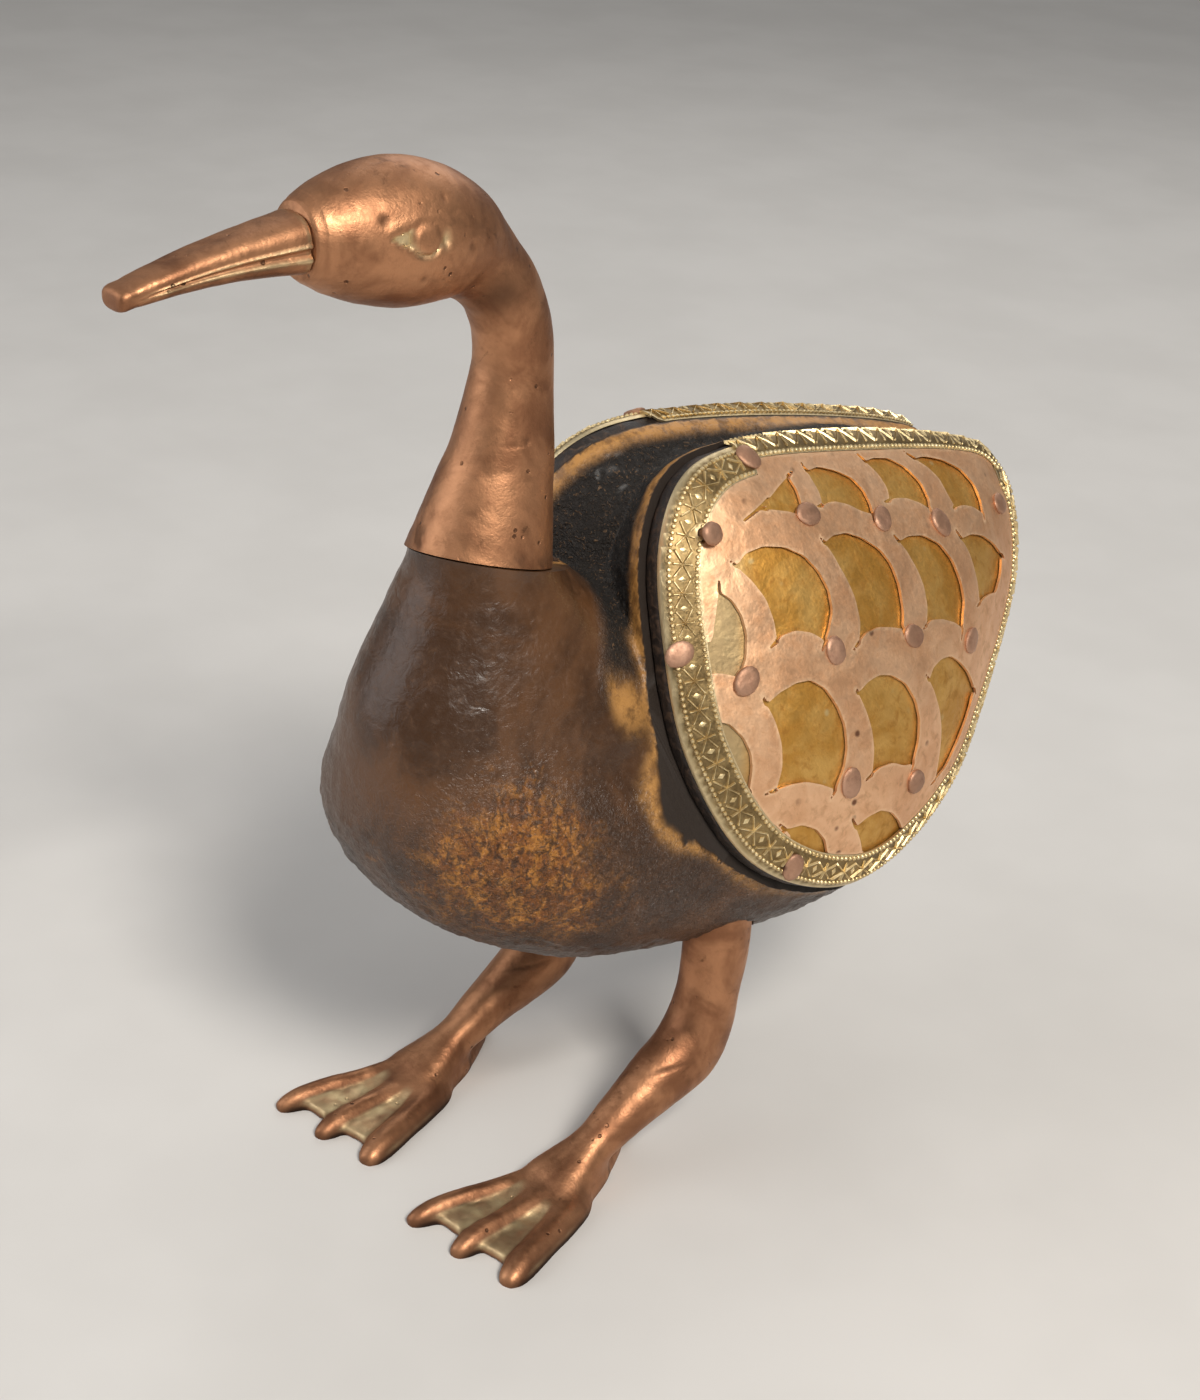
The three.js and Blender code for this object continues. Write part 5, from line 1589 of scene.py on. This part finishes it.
@dataclass
class StripPattern:
    """Pressed pattern of the strips: six-ray stars with lozenges between them, and a row of beads on each side."""

    period: float = 5.3
    width: float = 6.4
    bead_pitch: float = 1.12
    bead_insets: Pair = (1.05, 5.75)
    ray: float = 2.0
    ray_height: float = 0.46
    slant: Pair = (2.62, 1.75)
    path_steps: int = 2880
    smooth_steps: int = 20
    way_steps: int = 8

    def stamps(self) -> dict[str, Piece]:
        """Makes one bead, one star and one lozenge."""
        bead = round_stamp("bead", [(0.5, -0.15), (0.46, 0.14), (0.26, 0.36)], 8)
        parts = []
        for half, width in (((0.0, self.ray), 0.85), (self.slant, 0.78), ((self.slant[0], -self.slant[1]), 0.78)):
            parts.append(bare_piece("ray", *ridge(np.array(half), width, self.ray_height)))
        star = joined("star", parts)
        lozenge = oval_stamp("lozenge", [(0.62, 0.95, -0.15), (0.5, 0.8, 0.12), (0.25, 0.4, 0.2)], 4)
        return {"bead": bead, "star": star, "lozenge": lozenge}

    def path(self, plan: WingPlan, inset: float) -> tuple[np.ndarray, np.ndarray]:
        """Points round the wing at an inset, and how much narrower the strip is there than where it is square."""
        angles = np.linspace(0, 2 * math.pi, self.path_steps + 1)[:-1]
        reach = plan.reach(angles)
        slope, wide = np.gradient(reach, angles), self.smooth_steps
        slope = np.convolve(np.r_[slope[-wide:], slope, slope[:wide]], np.ones(2 * wide + 1) / (2 * wide + 1), "valid")
        return plan.spots(angles, reach - inset, 0.0)[:, :2], reach / np.hypot(reach, slope)

    def spots(self, plan: WingPlan, inset: float, pitch: float, start: float) -> list[Spot]:
        """Evenly spaced spots round the wing."""
        points, narrow = self.path(plan, inset)
        count = len(points)
        lengths = np.hypot(*(np.roll(points, -1, 0) - points).T)
        pace = np.cumsum(lengths / narrow ** 0.5)
        total = int(round(pace[-1] / pitch))
        found = []
        for k in range(total):
            i = int(np.searchsorted(pace, (k + start) * pace[-1] / total)) % count
            way = points[(i + self.way_steps) % count] - points[i - self.way_steps]
            found.append((points[i][0], points[i][1], float(narrow[i]), way / np.linalg.norm(way)))
        return found


@dataclass
class WingLid:
    """One wing lid: hollow block, brass sheet, openwork lattice, two pressed strips and the nails."""

    plan: WingPlan
    openwork: Openwork
    pattern: StripPattern
    gap: float = 0.3
    hollow_inset: float = 11.0
    shell: float = 4.6
    sheet_levels: Pair = (0.3, 0.7)
    lattice_levels: Pair = (1.0, 1.6)
    border_levels: Pair = (1.0, 1.7)
    rolled: float = 0.9
    lattice_inset: float = 6.5
    fold: float = 4.4
    fold_radius: float = 1.2
    fold_clearance: float = 0.35
    top_zone: Triple = (-29.5, 42.0, 18.0)
    sheet_grid: float = 1.5
    lattice_grid: float = 0.55
    strip_grid: float = 0.8
    block_sides: int = 216
    sharp_degrees: float = 40.0
    nail_degrees: float = 50.0
    border_nails: tuple[Pair, ...] = ((-50.6, 1.6), (-26.4, -39.6), (-30.5, 34.8))
    star_margin: float = 1.2
    small_margin: float = 0.7
    nail_clearance: float = 1.2
    nail_levels: Pair = (1.75, 1.9)
    nail_profile: tuple[Pair, ...] = ((2.3, -0.9), (2.5, -0.2), (2.58, 0.08), (2.4, 0.34), (1.7, 0.5), (0.7, 0.54))
    nail_oval: Pair = (1.12, 0.9)
    nail_twist: float = 57.0
    pivot: Pair = (-44.6, 22.4)
    pivot_radius: float = 1.1
    pin_stand: float = 1.5
    pin_oval: float = 0.05
    shank_limit: float = 1.2

    def block(self, finishes: Finishes) -> Piece:
        """The wooden block, scooped out behind."""
        angles = round_angles(self.block_sides)
        plan = self.plan
        rings = [plan.ring(angles, s, 0, 0) for s in (0.04, *np.linspace(0.1, 0.95, 18), 0.985)]
        rings.append(plan.ring(angles, 1, 0.35, 0.05))
        for w, inset in ((plan.edge_thickness - 0.35, 0.0), (2.2, -0.05), (1.2, 0.0), (0.6, 0.05), (0.3, 0.35)):
            rings.append(plan.level_ring(angles, inset, w))
        rings.append(plan.level_ring(angles, self.hollow_inset - 0.4, self.gap))
        rings.append(plan.level_ring(angles, self.hollow_inset, self.gap + 0.5))
        rings += [plan.ring(angles, s, self.hollow_inset, -self.shell) for s in (1, 0.98, 0.9, 0.75, 0.55, 0.35, 0.15)]
        core = loft_piece(f"{plan.side.word}_wing_block", np.array(rings))
        points = points_of(core)
        u, v, w = plan.seat_place(points).T
        edge = np.exp(-(plan.inset(u, v) / 1.5) ** 2) * smooth_step(0.25, 0.9, w)
        raise_skin(core, edge * (0.22 * wave(points, 5.0, 2, 3.0) + 0.12 * wave(points, 1.8, 1, 2.0)))
        bore = self.round_bar([(self.pivot_radius + 0.1, w) for w in (-3.0, 30.0)], 32)
        cut_away(core, [loft_piece("bore", bore)])
        crease(core, self.sharp_degrees)
        finish_piece(core, finishes.black, f"{plan.side.word}_wing", (f"{plan.side.word}_wing_core",))
        return core

    def round_bar(self, profile: Sequence[Pair], sides: int, oval: float = 0.0) -> np.ndarray:
        """Rings round the pivot from (radius, height over the seat) pairs, heads a little out of round."""
        angles = round_angles(sides)
        rings = []
        for radius, w in profile:
            rim = radius * (1 + (oval if radius > self.shank_limit else 0.0) * np.cos(2 * angles + 0.6))
            rings.append(self.plan.place(level_oval(angles, rim, rim, w) + np.array([*self.pivot, 0.0])))
        return np.array(rings)

    def bore_field(self, u: np.ndarray, v: np.ndarray) -> np.ndarray:
        """Field above zero in the pivot's bore."""
        return self.pivot_radius + 0.3 - np.hypot(u - self.pivot[0], v - self.pivot[1])

    def zone_field(self, u: np.ndarray, v: np.ndarray, slack: float) -> np.ndarray:
        """Field above zero in the top strip's reach."""
        first_u, last_u, lowest_v = self.top_zone
        return np.minimum.reduce([u - first_u + slack, last_u + slack - u, v - lowest_v])

    def brass_sheet(self, finishes: Finishes) -> Piece:
        """The sheet under the lattice."""
        plan = self.plan

        def cover(u: np.ndarray, v: np.ndarray) -> np.ndarray:
            """Below zero on the sheet."""
            return np.maximum(self.gap - plan.inset(u, v), self.bore_field(u, v))

        name = plan.side.word
        sheet = sheet_piece(f"{name}_wing_brass", plan, cover, self.sheet_grid, *self.sheet_levels)
        mark(sheet, "greyed", 0.75 * smooth_step(-36.0, -41.0, plan.seat_place(points_of(sheet))[:, 0]))
        finish_piece(sheet, finishes.sheet, f"{name}_wing", (f"{name}_wing_sheet",))
        return sheet

    def lattice(self, finishes: Finishes) -> Piece:
        """The sawn copper sheet."""
        plan = self.plan

        def cover(u: np.ndarray, v: np.ndarray) -> np.ndarray:
            """Below zero on the copper."""
            on_top = self.zone_field(u, v, 0) > 0
            reach = np.where(on_top, self.lattice_inset - self.fold + self.fold_radius, self.lattice_inset)
            return np.maximum.reduce([reach - plan.inset(u, v), -self.openwork.openings(u, v), self.bore_field(u, v)])

        name = plan.side.word
        piece = sheet_piece(f"{name}_wing_openwork", plan, cover, self.lattice_grid, *self.lattice_levels)
        finish_piece(piece, finishes.lattice, f"{name}_wing", (f"{name}_wing_lattice",))
        return piece

    def folded(self, points: np.ndarray) -> np.ndarray:
        """Bends a strip that lies on the dome over the wing's edge.

        Args:
            points: Points on or over the dome, in the duck's own frame.

        Returns:
            The points, with all that lies nearer the edge than the fold bent down over it.
        """
        plan = self.plan
        u, v, w = plan.seat_place(points).T
        du, dv = u - plan.hub[0], v - plan.hub[1]
        ray = np.hypot(du, dv)
        inset = plan.inset(u, v)
        over = w - plan.dome(u, v) - self.border_levels[0]
        turn = np.clip((self.fold - inset) / self.fold_radius, 0, math.pi / 2)
        hang = np.maximum(self.fold - inset - self.fold_radius * math.pi / 2, 0)
        flat = np.where(inset >= self.fold, inset - self.fold + self.fold_radius,
                        self.fold_radius * (1 - np.sin(turn)))
        reach = ray + inset
        height = plan.crown((reach - flat) / reach) + self.border_levels[0]
        height += over * np.cos(turn) - self.fold_radius * (1 - np.cos(turn)) - hang
        scale = (reach - flat + np.sin(turn) * (self.fold_clearance + over)) / ray
        return plan.place(np.stack([plan.hub[0] + du * scale, plan.hub[1] + dv * scale, height], 1))

    def rows(self, on_top: bool, rolled: float, stamps: dict[str, Piece], material: bpy.types.Material,
             stamper: Stamper) -> list[Piece]:
        """Rows of stamps on a strip.

        Args:
            on_top: Whether it is the top strip, and not the border.
            rolled: How far the strip's outer margin is bent down.
            stamps: The stamps by name.
            material: The stamps' material.
            stamper: Sets them.

        Returns:
            One piece for each row.
        """
        plan, pattern = self.plan, self.pattern
        rows = [("star", pattern.width / 2, pattern.period, 0.25), ("lozenge", pattern.width / 2, pattern.period, 0.75)]
        rows += [("bead", inset, pattern.bead_pitch, 0.0) for inset in pattern.bead_insets]
        made = []
        for seed, (stamp, inset, pitch, start) in enumerate(rows):
            margin = self.star_margin if stamp == "star" else self.small_margin
            keep = []
            for spot in pattern.spots(plan, inset, pitch, start):
                zone = self.zone_field(np.array([spot[0]]), np.array([spot[1]]), 0)[0]
                near = min(math.dist(spot[:2], nail) for nail in self.border_nails + (self.pivot,))
                if (zone > margin if on_top else zone < -margin) and near > self.nail_clearance:
                    keep.append(spot)
            flat = np.array([(u, v) for u, v, _, _ in keep])
            places = plan.place(np.column_stack([flat, plan.skin(flat, rolled) + self.border_levels[1]]))
            turns = [stamp_turn(plan, u, v, way) for u, v, _, way in keep]
            sizes = np.array([s for _, _, s, _ in keep]) ** (0.5 if stamp == "bead" else 1.0)
            made.append(stamper.press("stamped", places, turns, stamps[stamp], (0.93, 1.05), seed, material, sizes))
        return made

    def strips(self, finishes: Finishes, stamper: Stamper) -> list[Piece]:
        """The border and the top strip, each with its pressed pattern."""
        plan, width = self.plan, self.pattern.width
        made = []
        stamps = self.pattern.stamps()
        name = plan.side.word
        for label, on_top, rolled in (("border", False, self.rolled), ("top_strip", True, 0.0)):
            def cover(u: np.ndarray, v: np.ndarray) -> np.ndarray:
                """Below zero on the strip."""
                inset = plan.inset(u, v)
                zone = -self.zone_field(u, v, 0) if on_top else self.zone_field(u, v, self.gap)
                return np.maximum.reduce([inset - width, -inset, zone, self.bore_field(u, v)])

            ground = sheet_piece(f"{name}_{label}_ground", plan, cover, self.strip_grid, *self.border_levels, rolled)
            rows = self.rows(on_top, rolled, stamps, finishes.crest, stamper)
            ground_faces = len(ground.data.polygons)
            strip = joined(f"{name}_wing_{label}_pressed", [ground] + rows)
            if on_top:
                set_points(strip, self.folded(points_of(strip)))
            finish_piece(strip, finishes.ground, f"{name}_wing", (f"{name}_wing_{label}",))
            strip.data.materials.append(finishes.crest)
            for k, face in enumerate(strip.data.polygons):
                face.material_index = int(k >= ground_faces)
            crease(strip, self.sharp_degrees)
            made.append(strip)
        for stamp in stamps.values():
            discard(stamp)
        return made

    def nails(self, finishes: Finishes, stamper: Stamper) -> Piece:
        """Hand-made nail heads."""
        plan = self.plan
        flat = np.array(self.openwork.nails + self.border_nails)
        bases = plan.place(np.column_stack([flat, plan.dome(*flat.T)]))
        places, turns = [], []
        for k, ((u, v), base) in enumerate(zip(flat, bases)):
            twist = math.radians(self.nail_twist * k)
            turn = stamp_turn(plan, u, v, np.array([math.cos(twist), math.sin(twist)]))
            places.append(base + np.array(turn.col[2]) * self.nail_levels[k >= len(self.openwork.nails)])
            turns.append(turn)
        long, short = self.nail_oval
        stamp = oval_stamp("nail_head", [(r * long, r * short, h) for r, h in self.nail_profile], 14)
        name = plan.side.word
        piece = stamper.press(f"{name}_wing_nails", np.array(places), turns, stamp, (0.94, 1.06), 4, finishes.nail,
                              np.ones(len(flat)))
        discard(stamp)
        raise_skin(piece, 0.3 * wave(points_of(piece), 2.3, 1, 3.0))
        crease(piece, self.nail_degrees)
        nodes = [f"{name}_wing_nail_{k + 1:02d}" for k in range(len(flat))]
        finish_piece(piece, finishes.nail, f"{name}_wing", nodes)
        return piece

    def pin(self, finishes: Finishes) -> Piece:
        """The pivot pin, which is fixed in the body."""
        plan = self.plan
        top = plan.dome(*np.array(self.pivot)[:, None])[0] + self.lattice_levels[1] + self.pin_stand
        profile = [(0.5, -10.0), (1.1, -9.6), (1.1, top - 0.2), (1.12, top), (2.1, top + 0.02), (2.3, top + 0.3),
                   (2.15, top + 0.75), (1.6, top + 1.08), (0.7, top + 1.2)]
        name = plan.side.word
        pin = loft_piece(f"{name}_pivot_nail", self.round_bar(profile, 36, self.pin_oval))
        points = points_of(pin)
        on_head = smooth_step(top, top + 0.3, plan.seat_place(points)[:, 2])
        raise_skin(pin, 0.14 * wave(points, 1.6, 1, 2.0) * on_head)
        crease(pin, self.nail_degrees)
        finish_piece(pin, finishes.nail, "duck", (f"{name}_pivot_pin",))
        return pin

    def build(self, finishes: Finishes, stamper: Stamper) -> None:
        """Makes and dresses every piece of the lid."""
        self.block(finishes)
        self.brass_sheet(finishes)
        self.lattice(finishes)
        self.strips(finishes, stamper)
        self.nails(finishes, stamper)
        self.pin(finishes)


# Studio


@dataclass
class Studio:
    """Pale floor, soft lamps and the camera at the photograph's place."""

    pitch: float = 27.4
    azimuth: float = 48.5
    height: float = 299.0
    distance: float = 410.0
    sideways: float = -5.1
    roll: float = 2.59
    focal_px: float = 2400.0
    photo_width_px: float = 1400.0
    sensor_mm: float = 36.0
    aim: Triple = (0.0, -10.0, 95.0)
    lamps: tuple[tuple[str, Triple, float, float, Colour], ...] = (
        ("key", (840.0, -240.0, 960.0), 0.34, 15.0, (1.0, 0.95, 0.88)),
        ("fill", (-420.0, -620.0, 420.0), 0.7, 2.6, (0.97, 0.98, 1.0)),
        ("rear", (-350.0, 520.0, 620.0), 0.6, 1.4, (1.0, 0.98, 0.95)))
    floor_half: float = 4.0
    floor_colours: tuple[Colour, Colour] = ((0.60, 0.585, 0.565), (0.635, 0.62, 0.60))
    seen_backdrop: tuple[float, float, float, float] = (1.3, 1.27, 1.23, 1.0)
    world_strength: float = 0.46

    def camera(self) -> None:
        """Sets the camera."""
        a, p, r = (math.radians(x) for x in (self.azimuth, self.pitch, self.roll))
        ahead = np.array([-math.sin(a) * math.cos(p), math.cos(a) * math.cos(p), -math.sin(p)])
        right = np.array([math.cos(a), math.sin(a), 0.0])
        up = np.cross(right, ahead)
        turned_right = right * math.cos(r) + up * math.sin(r)
        turned_up = -right * math.sin(r) + up * math.cos(r)
        place = np.array([math.sin(a) * self.distance, -math.cos(a) * self.distance, self.height])
        place = to_frame(place + right * self.sideways)
        data = bpy.data.cameras.new("camera")
        data.lens = self.sensor_mm * self.focal_px / self.photo_width_px
        data.sensor_width = self.sensor_mm
        camera = bpy.data.objects.new("camera", data)
        turn = Matrix((turned_right, turned_up, -ahead)).transposed().to_4x4()
        camera.matrix_world = Matrix.Translation(place) @ turn
        bpy.context.scene.collection.objects.link(camera)
        bpy.context.scene.camera = camera

    def lamp(self, name: str, place: Triple, size: float, power: float, colour: Colour) -> None:
        """A square lamp that looks at the duck's middle."""
        data = bpy.data.lights.new(name, "AREA")
        data.size = size
        data.energy = power
        data.color = colour
        lamp = bpy.data.objects.new(name, data)
        spot = Vector(to_frame(np.array(place)))
        aim = Vector(to_frame(np.array(self.aim))) - spot
        lamp.matrix_world = Matrix.Translation(spot) @ aim.to_track_quat("-Z", "Y").to_matrix().to_4x4()
        bpy.context.scene.collection.objects.link(lamp)

    def build(self) -> None:
        """Sets everything."""
        half = self.floor_half
        floor = new_piece("floor", np.array([(-half, -half, 0), (half, -half, 0), (half, half, 0), (-half, half, 0)]),
                          [(0, 1, 2, 3)])
        g = Graph("floor")
        tone = g.mix(g.ramp(g.noise(60.0, 3.0), 0.3, 0.7), *self.floor_colours)
        floor.data.materials.append(g.done(tone, 0.6, g.bump(g.noise(3.0, 2.0), 0.02), 0.0, 0.0, 0.3))
        for lamp in self.lamps:
            self.lamp(*lamp)
        world = bpy.data.worlds.new("studio")
        world.use_nodes = True
        tree = world.node_tree
        place = add_node(tree, "ShaderNodeTexCoord").outputs["Generated"]
        level = add_node(tree, "ShaderNodeSeparateXYZ", {0: place}).outputs["Z"]
        glow = add_node(tree, "ShaderNodeMapRange", {0: level, 1: -0.1, 2: 0.9, 3: 0.16, 4: 0.75}).outputs[0]
        seen = add_node(tree, "ShaderNodeLightPath").outputs["Is Camera Ray"]
        shown = add_node(tree, "ShaderNodeMix", data_type="RGBA")
        for index, value in ((0, seen), (6, glow), (7, self.seen_backdrop)):
            fill(tree, shown.inputs[index], value)
        fill(tree, tree.nodes["Background"].inputs["Color"], shown.outputs[2])
        fill(tree, tree.nodes["Background"].inputs["Strength"], self.world_strength)
        bpy.context.scene.world = world
        bpy.context.scene.view_settings.view_transform = "Standard"
        self.camera()


def main() -> None:
    """Builds every piece in order and logs it."""
    logging.basicConfig(level=logging.INFO, format="%(message)s", stream=sys.stdout)
    finishes = Finishes()
    stamper = Stamper()
    plans = [WingPlan(side) for side in Side]
    body = CarvedBody()
    body.build(plans, finishes)
    HeadCasting().build(body, finishes)
    BeakCasting().build(finishes)
    for side, x in zip(Side, body.leg_xs):
        LegCasting(side, x, body).build(finishes)
    for plan in plans:
        WingLid(plan, Openwork(), StripPattern()).build(finishes, stamper)
    dowel = next(o for o in bpy.data.objects if o.get("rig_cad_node") == "neck_dowel")
    dowel.data.materials.clear()
    dowel.data.materials.append(finishes.copper)
    Studio().build()
    bpy.context.view_layer.update()


if __name__ == "__main__":
    main()
